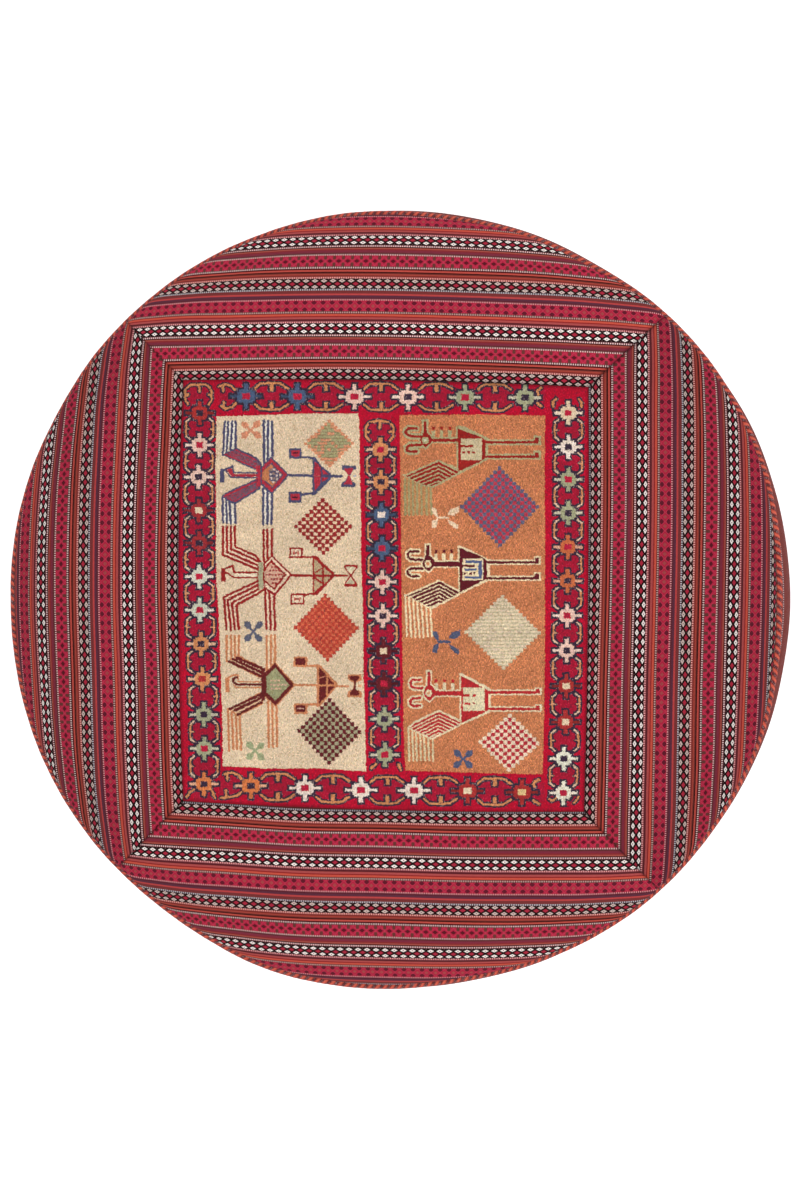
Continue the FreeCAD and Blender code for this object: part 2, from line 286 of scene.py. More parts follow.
D_UNIT, E_UNIT = 0.7778, 0.875      # one warp column and one weave step of the striped cloth
LINES = [  # (start, colour) over the 90 columns of one repeat
    (0.0, (38, 18, 18)), (10, (140, 60, 56)), (12.2, (122, 40, 38)), (13.2, (162, 66, 54)), (14.6, (112, 46, 42)),
    (15.6, (44, 12, 8)), (16.8, (186, 74, 64)), (18.4, (78, 20, 24)), (20, (84, 34, 40)),
    (22, (178, 36, 64)), (33, (90, 40, 44)), (35, (98, 44, 48)), (36.2, (124, 44, 60)), (38, (134, 42, 46)),
    (39.4, (160, 76, 66)), (41, (58, 14, 14)), (42, (90, 38, 44)), (44, (32, 14, 15)), (55, (128, 56, 60)),
    (57, (88, 32, 38)), (59, (170, 74, 72)), (61, (138, 34, 36)), (62.2, (198, 80, 64)), (64.2, (92, 28, 24)),
    (65, (96, 48, 50)), (67, (174, 34, 61)), (78, (96, 38, 48)), (80, (92, 38, 48)), (81, (90, 44, 60)),
    (83, (182, 66, 66)), (85, (118, 50, 50)), (88, (66, 46, 52)),
]
DOTS = [(10, (248, 176, 168)), (20, (236, 206, 200)), (33, (236, 196, 190)), (42, (255, 215, 212)), (55, (245, 170, 170)),
        (65, (208, 170, 162)), (78, (238, 156, 160)), (88, (205, 198, 204))]


def stripe_material(name, plain=None, painted_side_light=1.0):
    """Warp-faced striped cloth with two white-lozenge bands and two crimson bands to a repeat. With plain=(from, to) the
    cloth is a plain rust ground outside those distances from its edge, with one dotted line."""
    k = Kit(name, rough=0.92, specular=0.08, sheen=0.02)
    u_mm, v_mm = k.uv("cloth")
    u, t_all = u_mm / E_UNIT, (v_mm - (plain[0] if plain else 0.0)) / D_UNIT
    t = t_all.mod(90.0)
    base, _ = k.ramp(t / 90.0, [(p / 90.0, c) for p, c in LINES])
    stops = [(0.0, (0, 0, 0), 0.0)]
    for p, c in DOTS:
        stops += [(p / 90.0, c, 0.9), ((p + 1.3) / 90.0, c, 0.2)] + ([((p + 1.8) / 90.0, c, 0.0)] if p < 88 else [])
    dots, in_dots = k.ramp(t / 90.0, stops)
    step = u.floor().mod(2.0)
    colour = k.mix(in_dots * step, base, dots)

    du = ((u + 4.0).mod(8.0) - 4.0).abs()         # from the rows of white lozenges
    dh = (u.mod(8.0) - 4.0).abs()                 # from the rows half way between
    half = t.mod(45.0)
    second = t > 40.0

    # white-lozenge bands: a dark lattice with white and crimson diamonds in it
    w = (half - 4.9).abs()
    in_w = w < 5.4
    ww = (w - 3.05).abs()
    white = (ww / 1.8 + du / 3.0) < 1.0
    eye = (ww / 0.7 + du / 0.9) < 1.0
    pale = k.mix(second, lin((206, 182, 174)), lin((246, 234, 228)))
    colour = k.mix(white * in_w, colour, pale)
    colour = k.mix(eye * in_w, colour, k.mix(second, lin((120, 108, 106)), lin((142, 130, 128))))
    red = (w / 1.9 + dh / 2.7) < 1.0
    colour = k.mix(red * in_w, colour, lin((168, 40, 60)))
    cross = ((w - 6.1).abs() / 1.6 + dh / 2.1) < 1.0
    colour = k.mix(cross * in_w, colour, lin((160, 120, 120)))

    # crimson bands
    r = (half - 27.4).abs()
    in_r = r < 5.3
    rr = (r - 3.4).abs()
    thread = (r - (4.6 - dh * 1.1)).abs() < 0.4
    colour = k.mix(thread * in_r * 0.35, colour, lin((206, 84, 104)))
    dark_a = ((r / 2.05 + dh / 2.5) < 1.0) * (1.0 - second)
    side_a = (du < 1.35) * (rr < 1.9) * (1.0 - second)      # short bars from the band's edges
    dark_b = ((rr / 2.9 + du / 2.5) < 1.0) * (rr < 1.9) * second
    mid_b = ((r / 2.2 + dh / 2.0) < 1.0) * second
    colour = k.mix(dark_a * in_r * 0.9, colour, lin((72, 22, 30)))
    colour = k.mix(side_a * in_r * ((u * 2.0).floor().mod(2.0) * 0.3 + 0.72), colour, lin((84, 54, 46)))
    colour = k.mix(dark_b * in_r * 0.82, colour, lin((66, 24, 36)))
    colour = k.mix(mid_b * in_r * 0.5, colour, lin((146, 86, 78)))

    each = k.white(k.vec((t_all * 2.0).floor(), (u * 2.0).floor(), 3.0))
    streak = k.noise(k.vec(u * 0.012, t_all * 0.9, 0.0), 1.0, 2.0)
    cloud = k.noise(k.vec(u_mm, v_mm, 5.0), 0.02, 2.0)
    if plain:
        ground = k.mix(streak, lin((102, 36, 34)), lin((132, 52, 44)))
        out = (v_mm < plain[0]).max(v_mm > plain[1])
        colour = k.mix(out, colour, ground)
        line = (v_mm > 14.4) * (v_mm < 16.8)
        colour = k.mix(line, colour, k.mix(step, lin((86, 40, 52)), lin((196, 168, 168))))
    # each, streak and cloud are the cloth's own tone; the last factor makes the whole piece lighter or darker: painted
    # light and shade for its side
    shade = (each * 0.2 + 0.9) * (streak * 0.24 + 0.88) * (cloud * 0.12 + 0.94) * painted_side_light
    # painted shade along the seams and a painted shadow at the rim
    _, seam = k.attr("Seam")
    shade = shade * (1.0 - seam * 0.55)
    warp = ((t_all * 2.0).mod(1.0) * math.pi).sin()
    rib = (((u * 1.0 + (t_all * 2.0).floor() * 0.5).mod(1.0)) * math.pi).sin()
    height = warp * 0.6 + rib * 0.5 + each * 0.25
    return k.done(k.shade(colour, shade), height, 0.5, 0.0003, each * 0.08 + 0.84)


PITCH = 2 * math.pi * 297.0 / 323       # of the stripes that wind round the piping


def piping_material():
    """The striped cloth cut on the bias, so coral and dark stripes wind round the welt."""
    k = Kit("bias_piping", rough=0.88, specular=0.15, sheen=0.05)
    u, v = k.uv("cloth")
    wob = k.noise(k.vec(u, v, 0.0), 0.03, 2.0)
    q = ((u + v * 0.66) / PITCH + wob * 0.35).mod(1.0)
    colour, _ = k.ramp(q, [
        (0.0, (196, 76, 60)), (0.10, (226, 108, 84)), (0.34, (212, 90, 70)), (0.46, (146, 54, 50)),
        (0.56, (92, 40, 42)), (0.70, (116, 62, 64)), (0.80, (88, 40, 44)), (0.92, (150, 54, 54)),
    ], "LINEAR")
    q2 = ((u - v * 0.66) / PITCH + wob * 0.35).mod(1.0)
    colour = k.mix((q2 < 0.2) * 0.42, colour, lin((204, 88, 72)))
    fleck = k.white(k.vec(((u + v) * 1.3).floor(), ((u - v) * 1.3).floor(), 0.0))
    dotted = (fleck > 0.82) * (q > 0.5)
    colour = k.mix(dotted * 0.5, colour, lin((170, 150, 150)))
    each = k.white(k.vec(((u + v) * 1.7).floor(), ((u - v) * 1.7).floor(), 2.0))
    cloud = k.noise(k.vec(u, v, 3.0), 0.06, 2.0)
    # painted shadow on the welt's inner side, where it meets the cloth
    contact_shadow = ((v * -1.0 - 5.2) / 1.6).max(0.0).min(1.0)
    shade = (each * 0.2 + 0.9) * (cloud * 0.3 + 0.87) * (1.0 - contact_shadow * 0.6)
    weave = (((u + v) * 1.7).mod(1.0) * math.pi).sin() + (((u - v) * 1.7).mod(1.0) * math.pi).sin()
    return k.done(k.shade(colour, shade), weave + each * 0.4, 0.5, 0.0003)


def weave_material(name, dark, light, pitch, rough=0.92, depth=0.0003, sheen=0.0, slub=0.3):
    """Plain weave in object space: threads over and under, with slubs and a little fading."""
    k = Kit(name, rough=rough, specular=0.15, sheen=sheen)
    x, y, z = k.place()
    a, b = x / pitch, (y + z) / pitch
    warp = (a.mod(1.0) * math.pi).sin()
    weft = (b.mod(1.0) * math.pi).sin()
    over = (a.floor() + b.floor()).mod(2.0)
    height = warp * over + weft * (1.0 - over)
    thick = k.noise(k.vec(a * 0.04, b.floor() * 0.7, 0.0), 1.0, 2.0)
    cloud = k.noise(k.vec(x, y, z), 0.012, 3.0)
    each = k.white(k.vec(a.floor(), b.floor(), z.floor() * 0.0))
    # the height share darkens the threads where they dip under: painted shade; thick, cloud and each are the yarn's own
    # tone
    mixv = height * 0.35 + thick * slub + cloud * 0.3 + each * 0.15
    colour = k.mix(mixv.min(1.0), lin(dark), lin(light))
    return k.done(colour, height + each * 0.2, 0.6, depth)


def lumpy_material(name, dark, light, scale, rough=0.95, depth=0.001, detail=4.0):
    k = Kit(name, rough=rough, specular=0.1)
    x, y, z = k.place()
    n = k.noise(k.vec(x, y, z), scale, detail, 0.6)
    m = k.noise(k.vec(x, y, z), scale * 9.0, 2.0, 0.6)
    colour = k.mix((n * 0.7 + m * 0.4).min(1.0), lin(dark), lin(light))
    return k.done(colour, n + m * 0.4, 0.6, depth)


def metal_material(name, tint, dark):
    k = Kit(name, rough=0.34, specular=0.5, metallic=1.0)
    x, y, z = k.place()
    brush = k.noise(k.vec(x * 0.4, y * 6.0, z * 6.0), 1.2, 3.0)
    worn = k.noise(k.vec(x, y, z), 0.35, 3.0)
    colour = k.mix((worn * 0.8 + brush * 0.25).min(1.0), lin(dark), lin(tint))
    return k.done(colour, brush, 0.15, 0.0001, worn * 0.22 + 0.24)


M_RUG = rug_material()
# each border's copy is made lighter or darker as a whole: painted light and shade for its side
M_STRIPE = {side: stripe_material("striped_cloth_" + side, None, painted_side_light) for side, painted_side_light in (("left", 0.93), ("right", 0.90), ("back", 1.06), ("front", 1.0))}
M_SIDE = stripe_material("striped_side_cloth", (100.0, 204.0))
M_PIPING = piping_material()
M_CANVAS = weave_material("base_canvas", (44, 36, 36), (84, 70, 68), 0.95)
M_LINING = weave_material("lining_cotton", (196, 184, 160), (226, 216, 196), 0.7)
M_CALICO = weave_material("calico", (212, 202, 180), (238, 230, 212), 0.6)
M_TAPE = weave_material("zip_tape", (36, 26, 28), (66, 50, 52), 0.55)
M_CORD = weave_material("cotton_cord", (206, 196, 178), (236, 228, 212), 0.9)
M_THREAD = weave_material("stitch_thread", (120, 84, 74), (168, 128, 112), 0.35)
M_TEETH = lumpy_material("zip_teeth_nylon", (40, 28, 30), (62, 46, 48), 0.2, 0.45, 0.0001)
M_FOAM = lumpy_material("foam", (206, 188, 132), (236, 222, 172), 0.25, 0.95, 0.0006)
M_FIBRE = lumpy_material("fibre", (226, 226, 224), (250, 250, 248), 0.06, 0.98, 0.003, 6.0)
M_METAL = metal_material("zip_metal", (190, 178, 150), (120, 108, 86))

# ------------------------------------------------------------------ mesh helpers


def to_mesh(name, P, material, uvs=None, face_colour=None, seam=None, wrap_i=False, wrap_j=False, flip=False, bake=None):
    """A sheet of quads over the grid P (rows, columns, xyz in millimetres)."""
    ni, nj = P.shape[:2]
    keep_i, keep_j = (ni - 1 if wrap_i else ni), (nj - 1 if wrap_j else nj)
    index = np.arange(keep_i * keep_j).reshape(keep_i, keep_j)
    index = np.pad(index, ((0, ni - keep_i), (0, nj - keep_j)), mode="wrap")
    verts = (P[:keep_i, :keep_j].reshape(-1, 3) * MM)
    ii, jj = np.meshgrid(np.arange(ni - 1), np.arange(nj - 1), indexing="ij")
    ci = np.stack([ii, ii + 1, ii + 1, ii], -1).reshape(-1, 4)
    cj = np.stack([jj, jj, jj + 1, jj + 1], -1).reshape(-1, 4)
    if flip:
        ci, cj = ci[:, ::-1], cj[:, ::-1]
    faces = index[ci, cj]
    me = bpy.data.meshes.new(name)
    me.vertices.add(len(verts))
    me.vertices.foreach_set("co", verts.astype(np.float32).ravel())
    me.loops.add(faces.size)
    me.loops.foreach_set("vertex_index", faces.astype(np.int32).ravel())
    me.polygons.add(len(faces))
    me.polygons.foreach_set("loop_start", (np.arange(len(faces)) * 4).astype(np.int32))
    me.update(calc_edges=True)
    me.polygons.foreach_set("use_smooth", np.ones(len(faces), bool))
    maps = dict(uvs or {})
    if bake is not None:
        maps["OFBake"] = bake
    for uv_name, grid in maps.items():
        layer = me.uv_layers.new(name=uv_name)
        layer.data.foreach_set("uv", grid[ci, cj].astype(np.float32).ravel())
    for key, values in (face_colour or {}).items():
        a = me.color_attributes.new(key, "FLOAT_COLOR", "CORNER")
        flat = np.ones((len(faces), 4, 4), np.float32)
        flat[:, :, :3] = values.reshape(-1, 1, 3)
        a.data.foreach_set("color", flat.ravel())
    # painted shade along the seams, which the cloth materials read
    if seam is not None:
        a = me.attributes.new("Seam", "FLOAT", "POINT")
        a.data.foreach_set("value", seam[:keep_i, :keep_j].astype(np.float32).ravel())
    me.validate()
    me.materials.append(material)
    ob = bpy.data.objects.new(name, me)
    bpy.context.scene.collection.objects.link(ob)
    return ob


def unit_grid(ni, nj):
    a, b = np.meshgrid(np.linspace(0, 1, ni), np.linspace(0, 1, nj), indexing="ij")
    return np.stack([a, b], -1)


def z_top(r):
    q = r / R_TOP
    return H_RIM + 16.0 * (1 - q ** 2) + 24.0 * (1 - q ** 16)


_rs = np.linspace(0, R_TOP, 3001)
_rolled = _rs + np.interp(R_TOP - _rs, ROLL_E, ROLL_R), z_top(_rs) + np.interp(R_TOP - _rs, ROLL_E, ROLL_Z)
_arc = np.concatenate([[0], np.cumsum(np.hypot(np.diff(_rolled[0]), np.diff(_rolled[1])))])


def cloth_point(x, y):
    """Flat-cloth place of a point of the dome: the same direction, at its distance along the surface."""
    r = np.maximum(np.hypot(x, y), 1e-6)
    k = np.interp(r, _rs, _arc) / r
    return x * k, y * k


def r_band(z):
    q = (z - 0.5 * (Z_LOW + Z_HIGH)) / (0.5 * (Z_HIGH - Z_LOW))
    return R_BAND_END + (R_BELLY - R_BAND_END) * (1 - q * q)


def smooth(x, a, b):
    s = np.clip((x - a) / (b - a), 0, 1)
    return s * s * (3 - 2 * s)


def round_table(values):
    """Smooth periodic function of the angle in radians, from values every 10 degrees."""
    dense = np.interp(np.arange(720) * 0.5, np.arange(36) * 10.0, values, period=360.0)
    soft = np.exp(-0.5 * (np.minimum(np.arange(720), 720 - np.arange(720)) * 0.5 / 3.0) ** 2)
    dense = np.fft.irfft(np.fft.rfft(dense) * np.fft.rfft(soft / soft.sum()), 720)
    return lambda a: np.interp(np.degrees(a), np.arange(720) * 0.5, dense, period=360.0)


rim_out, bag_out, side_out = round_table(RIM_OUT), round_table(BAG_OUT), round_table(SIDE_OUT)


def lumps(x, y, size, seed):
    """Slow, repeatable unevenness between -1 and 1."""
    g = np.random.default_rng(seed)
    x, y = np.broadcast_arrays(x, y)
    out = np.zeros(x.shape)
    for _ in range(9):
        ang, ph = g.uniform(0, 2 * math.pi, 2)
        f = 2 * math.pi / (size * g.uniform(0.7, 1.8))
        out += np.sin((x * math.cos(ang) + y * math.sin(ang)) * f + ph)
    return out / 9.0 * 1.6


def upsample(a, si, sj):
    """Catmull-Rom values of a grid at the places si by sj, both from 0 to 1."""

    def one(arr, s):
        m = arr.shape[0]
        x = s * (m - 1)
        i = np.clip(x.astype(int), 0, m - 2)
        f = (x - i).reshape(-1, *([1] * (arr.ndim - 1)))
        p0, p1 = arr[np.maximum(i - 1, 0)], arr[i]
        p2, p3 = arr[i + 1], arr[np.minimum(i + 2, m - 1)]
        return 0.5 * (2 * p1 + (p2 - p0) * f + (2 * p0 - 5 * p1 + 4 * p2 - p3) * f ** 2 + (3 * p1 - p0 - 3 * p2 + p3) * f ** 3)

    return np.swapaxes(one(np.swapaxes(one(a, si), 0, 1), sj), 0, 1)


def puffed(P, peak, pressure=4.0, stiff=18.0):
    """Swell of a cloth piece sewn down along its four edges over its filling: Blender's cloth under pressure,
    as an outward displacement on the coarse grid P, peak millimetres at the most."""
    out = np.cross(np.gradient(P, axis=0), np.gradient(P, axis=1))
    out /= np.linalg.norm(out, axis=-1, keepdims=True)
    inward = bool(np.sum(out * (P - np.array([0, 0, 180.0])), -1).mean() < 0)
    if inward:
        out = -out
    ob = to_mesh("swell", P, M_LINING, flip=inward)
    group = ob.vertex_groups.new(name="sewn")
    ni, nj = P.shape[:2]
    edge = np.zeros((ni, nj), bool)
    edge[[0, -1], :] = True
    edge[:, [0, -1]] = True
    group.add([int(i) for i in np.flatnonzero(edge.ravel())], 1.0, "REPLACE")
    mod = ob.modifiers.new("cloth", "CLOTH")
    s = mod.settings
    s.quality = 6
    s.mass = 0.35
    s.tension_stiffness = s.compression_stiffness = stiff
    s.shear_stiffness = stiff / 3
    s.bending_stiffness = 0.8
    s.use_pressure = True
    s.uniform_pressure_force = pressure
    s.vertex_group_mass = "sewn"
    s.effector_weights.gravity = 0.0
    mod.collision_settings.use_collision = False
    mod.point_cache.frame_start, mod.point_cache.frame_end = 1, 20
    scene = bpy.context.scene
    for f in range(1, 21):
        scene.frame_set(f)
    got = ob.evaluated_get(bpy.context.evaluated_depsgraph_get()).to_mesh()
    co = np.empty(len(got.vertices) * 3, np.float32)
    got.vertices.foreach_get("co", co)
    move = co.reshape(ni, nj, 3).astype(float) / MM - P
    scene.frame_set(1)
    me = ob.data
    bpy.data.objects.remove(ob)
    bpy.data.meshes.remove(me)
    rise = np.maximum(np.sum(move * out, -1), 0.0)
    return out * (rise * peak / max(rise.max(), 1e-6))[..., None]


def skirt(P, drop, *others):
    """Adds a turned-down edge all round a grid; the other arrays are repeated outwards."""
    Q = np.pad(P, ((1, 1), (1, 1), (0, 0)), mode="edge")
    ring = np.zeros(Q.shape[:2], bool)
    ring[[0, -1], :] = True
    ring[:, [0, -1]] = True
    Q[ring] += drop
    rest = [np.pad(o, ((1, 1), (1, 1)) + ((0, 0),) * (o.ndim - 2), mode="edge") for o in others]
    return [Q] + rest


def bake_map(ni, nj, margin=0.004):
    g = unit_grid(ni, nj)
    return margin + g * (1 - 2 * margin)


PIECES = {}


def finish_piece(ob, body, node):
    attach(ob, body)
    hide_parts(node)
    PIECES[ob.name] = ob
    return ob


# ------------------------------------------------------------------ the drawing on the centre panel
# All coordinates below are in the 800 by 1200 picture; the panel's cells look up where they fall in it.

RED, CRIM, WINE = (180, 14, 44), (180, 32, 58), (163, 23, 49)
NAVY, BLUE = (54, 40, 56), (74, 90, 118)
CREAM, ORANGE = (221, 196, 165), (195, 121, 81)
BRICK, MAROON = (164, 48, 46), (96, 30, 36)
OCHRE, BURNT, SAGE = (204, 134, 88), (194, 102, 64), (160, 160, 128)
PINKW, WHITE = (228, 188, 172), (232, 212, 198)
DRED = (156, 46, 50)


class Drawing:
    def __init__(self, X, Y):
        self.X, self.Y = X, Y
        self.C = np.zeros(X.shape + (3,))
        self.spans = X.min(1), X.max(1), Y.min(0), Y.max(0)

    def window(self, x0, y0, x1, y1):
        """The block of cells that can lie in a box."""
        xa, xb, ya, yb = self.spans
        i, j = np.flatnonzero((xb >= x0) & (xa <= x1)), np.flatnonzero((yb >= y0) & (ya <= y1))
        if not len(i) or not len(j):
            return np.s_[0:0, 0:0]
        return np.s_[i[0]:i[-1] + 1, j[0]:j[-1] + 1]

    def fill(self, w, mask, colour):
        self.C[w][mask] = colour

    def rect(self, x0, y0, x1, y1, colour):
        w = self.window(x0, y0, x1, y1)
        X, Y = self.X[w], self.Y[w]
        self.fill(w, (X > x0) & (X < x1) & (Y > y0) & (Y < y1), colour)

    def inside(self, pts, w=None):
        pts = list(pts)
        xs, ys = [p[0] for p in pts], [p[1] for p in pts]
        w = w or self.window(min(xs), min(ys), max(xs), max(ys))
        x, y = self.X[w], self.Y[w]
        odd = np.zeros(x.shape, bool)
        for (xa, ya), (xb, yb) in zip(pts, pts[1:] + pts[:1]):
            if ya != yb:
                odd ^= ((ya > y) != (yb > y)) & (x < (xb - xa) * (y - ya) / (yb - ya) + xa)
        return w, odd

    def poly(self, pts, colour):
        self.fill(*self.inside(pts), colour)

    def line(self, pts, width, colour):
        """Cells within half a width of a run of straight lines."""
        h = 0.5 * width
        for (xa, ya), (xb, yb) in zip(pts[:-1], pts[1:]):
            w = self.window(min(xa, xb) - h, min(ya, yb) - h, max(xa, xb) + h, max(ya, yb) + h)
            X, Y = self.X[w], self.Y[w]
            dx, dy = xb - xa, yb - ya
            f = np.clip(((X - xa) * dx + (Y - ya) * dy) / (dx * dx + dy * dy or 1e-9), 0, 1)
            self.fill(w, (X - xa - f * dx) ** 2 + (Y - ya - f * dy) ** 2 < h * h, colour)

    def ring(self, pts, width, colour):
        pts = list(pts)
        self.line(pts + pts[:1], width, colour)


def draw_panel(X, Y):
    g = Drawing(X, Y)
    g.C[:] = RED

    # the two fields
    g.poly([(217, 416.3), (245, 415.8), (305, 413.6), (357.5, 413.5), (359.2, 420), (359.6, 462), (360.5, 500), (361.2, 530),
            (360.8, 550), (361.8, 580), (363.2, 612), (363.4, 660), (363.6, 680), (365, 712), (366, 771.5), (318, 768.3),
            (268, 768.5), (222.8, 766), (222.4, 724), (221.3, 691), (220, 650), (218.5, 612), (216.5, 582), (215.8, 545),
            (216.3, 520), (215.6, 462), (216.2, 430)], CREAM)
    g.poly([(399.6, 415.2), (480, 414.6), (545, 415.6), (544.5, 472), (545, 530), (545, 640), (544.6, 680), (543.9, 720),
            (543.4, 745), (542.5, 774.3), (470, 772.6), (405.4, 770.6), (404, 740), (403, 690), (402.4, 650), (401.6, 590),
            (401, 528), (400.4, 472)], ORANGE)

    # ---- border rosettes and crabs
    left = [(413, BRICK, NAVY), (445, PINKW, CRIM), (477, PINKW, NAVY), (510.5, DRED, CREAM), (543, DRED, NAVY),
            (576.5, (208, 204, 186), CRIM), (610, (200, 200, 180), CRIM), (644, OCHRE, NAVY), (679, OCHRE, BRICK),
            (714.5, SAGE, NAVY), (748.5, SAGE, CRIM), (784, (206, 118, 70), NAVY)]
    middle = [(449.5, OCHRE, CRIM), (482, OCHRE, NAVY), (514.7, BLUE, WHITE), (548.4, BLUE, CRIM), (582, PINKW, CRIM),
              (616, PINKW, NAVY), (651, MAROON, CREAM), (683.6, MAROON, CRIM), (719, SAGE, NAVY), (754.8, SAGE, CRIM)]
    right = [(413, CREAM, CRIM), (447, WHITE, NAVY), (479.5, SAGE, CRIM), (513, SAGE, NAVY), (547, BURNT, CRIM),
             (581, BURNT, NAVY), (615.5, PINKW, CRIM), (650.5, PINKW, NAVY), (686, BRICK, CREAM), (722, BRICK, CREAM),
             (758.7, (222, 218, 198), NAVY), (793, (222, 214, 194), CRIM)]
    top = [(246, BLUE, CRIM), (297.4, BLUE, CRIM), (354.6, PINKW, CRIM), (408, PINKW, NAVY), (465, SAGE, CRIM), (525, SAGE, NAVY)]
    bottom = [(251, (206, 116, 68), NAVY), (305, WHITE, CRIM), (361, WHITE, CRIM), (414, WHITE, CRIM), (467.6, BRICK, CREAM), (522, BRICK, (222, 188, 132))]

    def col_x(name, y):
        if name == "l":
            return np.interp(y, [413, 445, 477, 543, 576, 610, 644, 679, 714, 748, 784], [199.8, 199.6, 198.6, 199.2, 199.2, 199.8, 201.2, 202.4, 203.8, 204.3, 204.0])
        if name == "r":
            return np.interp(y, [413, 480, 513, 581, 650, 722, 759, 793], [568.4, 568.4, 568.2, 567.6, 566.8, 565.5, 563.9, 563.4])
        return 380 + 5.4 * (y - 413) / 371.0

    def row_y(name, x):
        if name == "t":
            return 396.2 + 1.4 * (x - 246) / 279.0
        return np.interp(x, [251, 305, 361, 467, 522], [785.8, 788.0, 790.0, 790.9, 792.2])

    # the ground inside the border's motifs is darker than its edges
    for name, y0, y1 in (("l", 384, 800), ("m", 424, 766), ("r", 406, 803)):
        w = g.window(170, y0, 600, y1)
        g.fill(w, (np.abs(X[w] - col_x(name, Y[w])) < 10.5) & (Y[w] > y0) & (Y[w] < y1), WINE)
    for name, x0, x1 in (("t", 219, 545), ("b", 219, 545)):
        w = g.window(x0, 370, x1, 820)
        g.fill(w, (np.abs(Y[w] - row_y(name, X[w])) < 9.5) & (X[w] > x0) & (X[w] < x1), WINE)

    def rosette_parts(cx, cy, a, b, va, ha, grow):
        n = 1.7
        return [(cx - a - grow, cy - b + n - grow, cx + a + grow, cy + b - n + grow),
                (cx - a + n - grow, cy - b - grow, cx + a - n + grow, cy + b + grow),
                (cx - 1.9 - 0.9 * grow, cy - b - va - grow, cx + 1.9 + 0.9 * grow, cy + b + va + grow),
                (cx - a - ha - grow, cy - 1.35 - grow, cx + a + ha + grow, cy + 1.35 + grow)]

    def rosette(cx, cy, ring, core, a, b, va, ha, layer):
        if layer == 0:
            for p in rosette_parts(cx, cy, a, b, va, ha, 2.1):
                g.rect(*p, NAVY)
            return
        parts = rosette_parts(cx, cy, a, b, va, ha, 0.0)
        pale = tuple(0.5 * c + 0.5 * w for c, w in zip(ring, WHITE)) if ring not in (BRICK, DRED, MAROON, BLUE) else tuple(0.8 * c for c in ring)
        g.rect(*parts[3], pale)
        for p in parts[:3]:
            g.rect(*p, ring)
        g.rect(cx - a * 0.47, cy - b * 0.47, cx + a * 0.47, cy + b * 0.47, core)

    def crab_column(c, m, layer, h=8.3):
        for s in (-1, 1):
            bow = [(c + s * 9.6, m - h - 2.0), (c + s * 13.4, m - h + 1.0), (c + s * 13.8, m), (c + s * 13.4, m + h - 1.0), (c + s * 9.6, m + h + 2.0)]
            if layer == 0:
                g.line(bow, 5.6, NAVY)
                g.poly([(c + s * 12.5, m - 3.6), (c + s * 8.4, m), (c + s * 12.5, m + 3.6)], NAVY)
            else:
                g.line(bow[1:4], 1.8, OCHRE)
                g.line(bow[:2], 1.5, (216, 182, 154))
                g.line(bow[3:], 1.5, (216, 182, 154))
                g.line([(c + s * 13.6, m), (c + s * 10.8, m)], 1.5, (206, 146, 110))

    def crab_row(m, yc, layer):
        for s in (-1, 1):
            bow = [(m - 16.8, yc + s * 8.0), (m - 11.4, yc + s * 12.6), (m, yc + s * 13.4), (m + 8.6, yc + s * 12.8), (m + 16.2, yc + s * 7.9)]
            if layer == 0:
                g.line(bow, 5.6, NAVY)
                g.rect(m - 4.2, min(yc + s * 3.8, yc + s * 12), m + 4.2, max(yc + s * 3.8, yc + s * 12), NAVY)
            else:
                g.line(bow, 2.0, OCHRE)
                g.rect(m - 1.8, min(yc + s * 5.4, yc + s * 12), m + 1.8, max(yc + s * 5.4, yc + s * 12), OCHRE)

    for layer in (0, 1):
        for name, items in (("l", left), ("m", middle), ("r", right)):
            for i, (y, ring, core) in enumerate(items):
                rosette(col_x(name, y), y, ring, core, 7.5, 6.3, 5.6, 6.8, layer)
                if i:
                    m = 0.5 * (y + items[i - 1][0])
                    crab_column(col_x(name, m), m, layer)
        for name, items in (("t", top), ("b", bottom)):
            for i, (x, ring, core) in enumerate(items):
                rosette(x, row_y(name, x), ring, core, 8.6, 6.5, 6.2, 7.4, layer)
                if i:
                    m = 0.5 * (x + items[i - 1][0])
                    crab_row(m, row_y(name, m), layer)
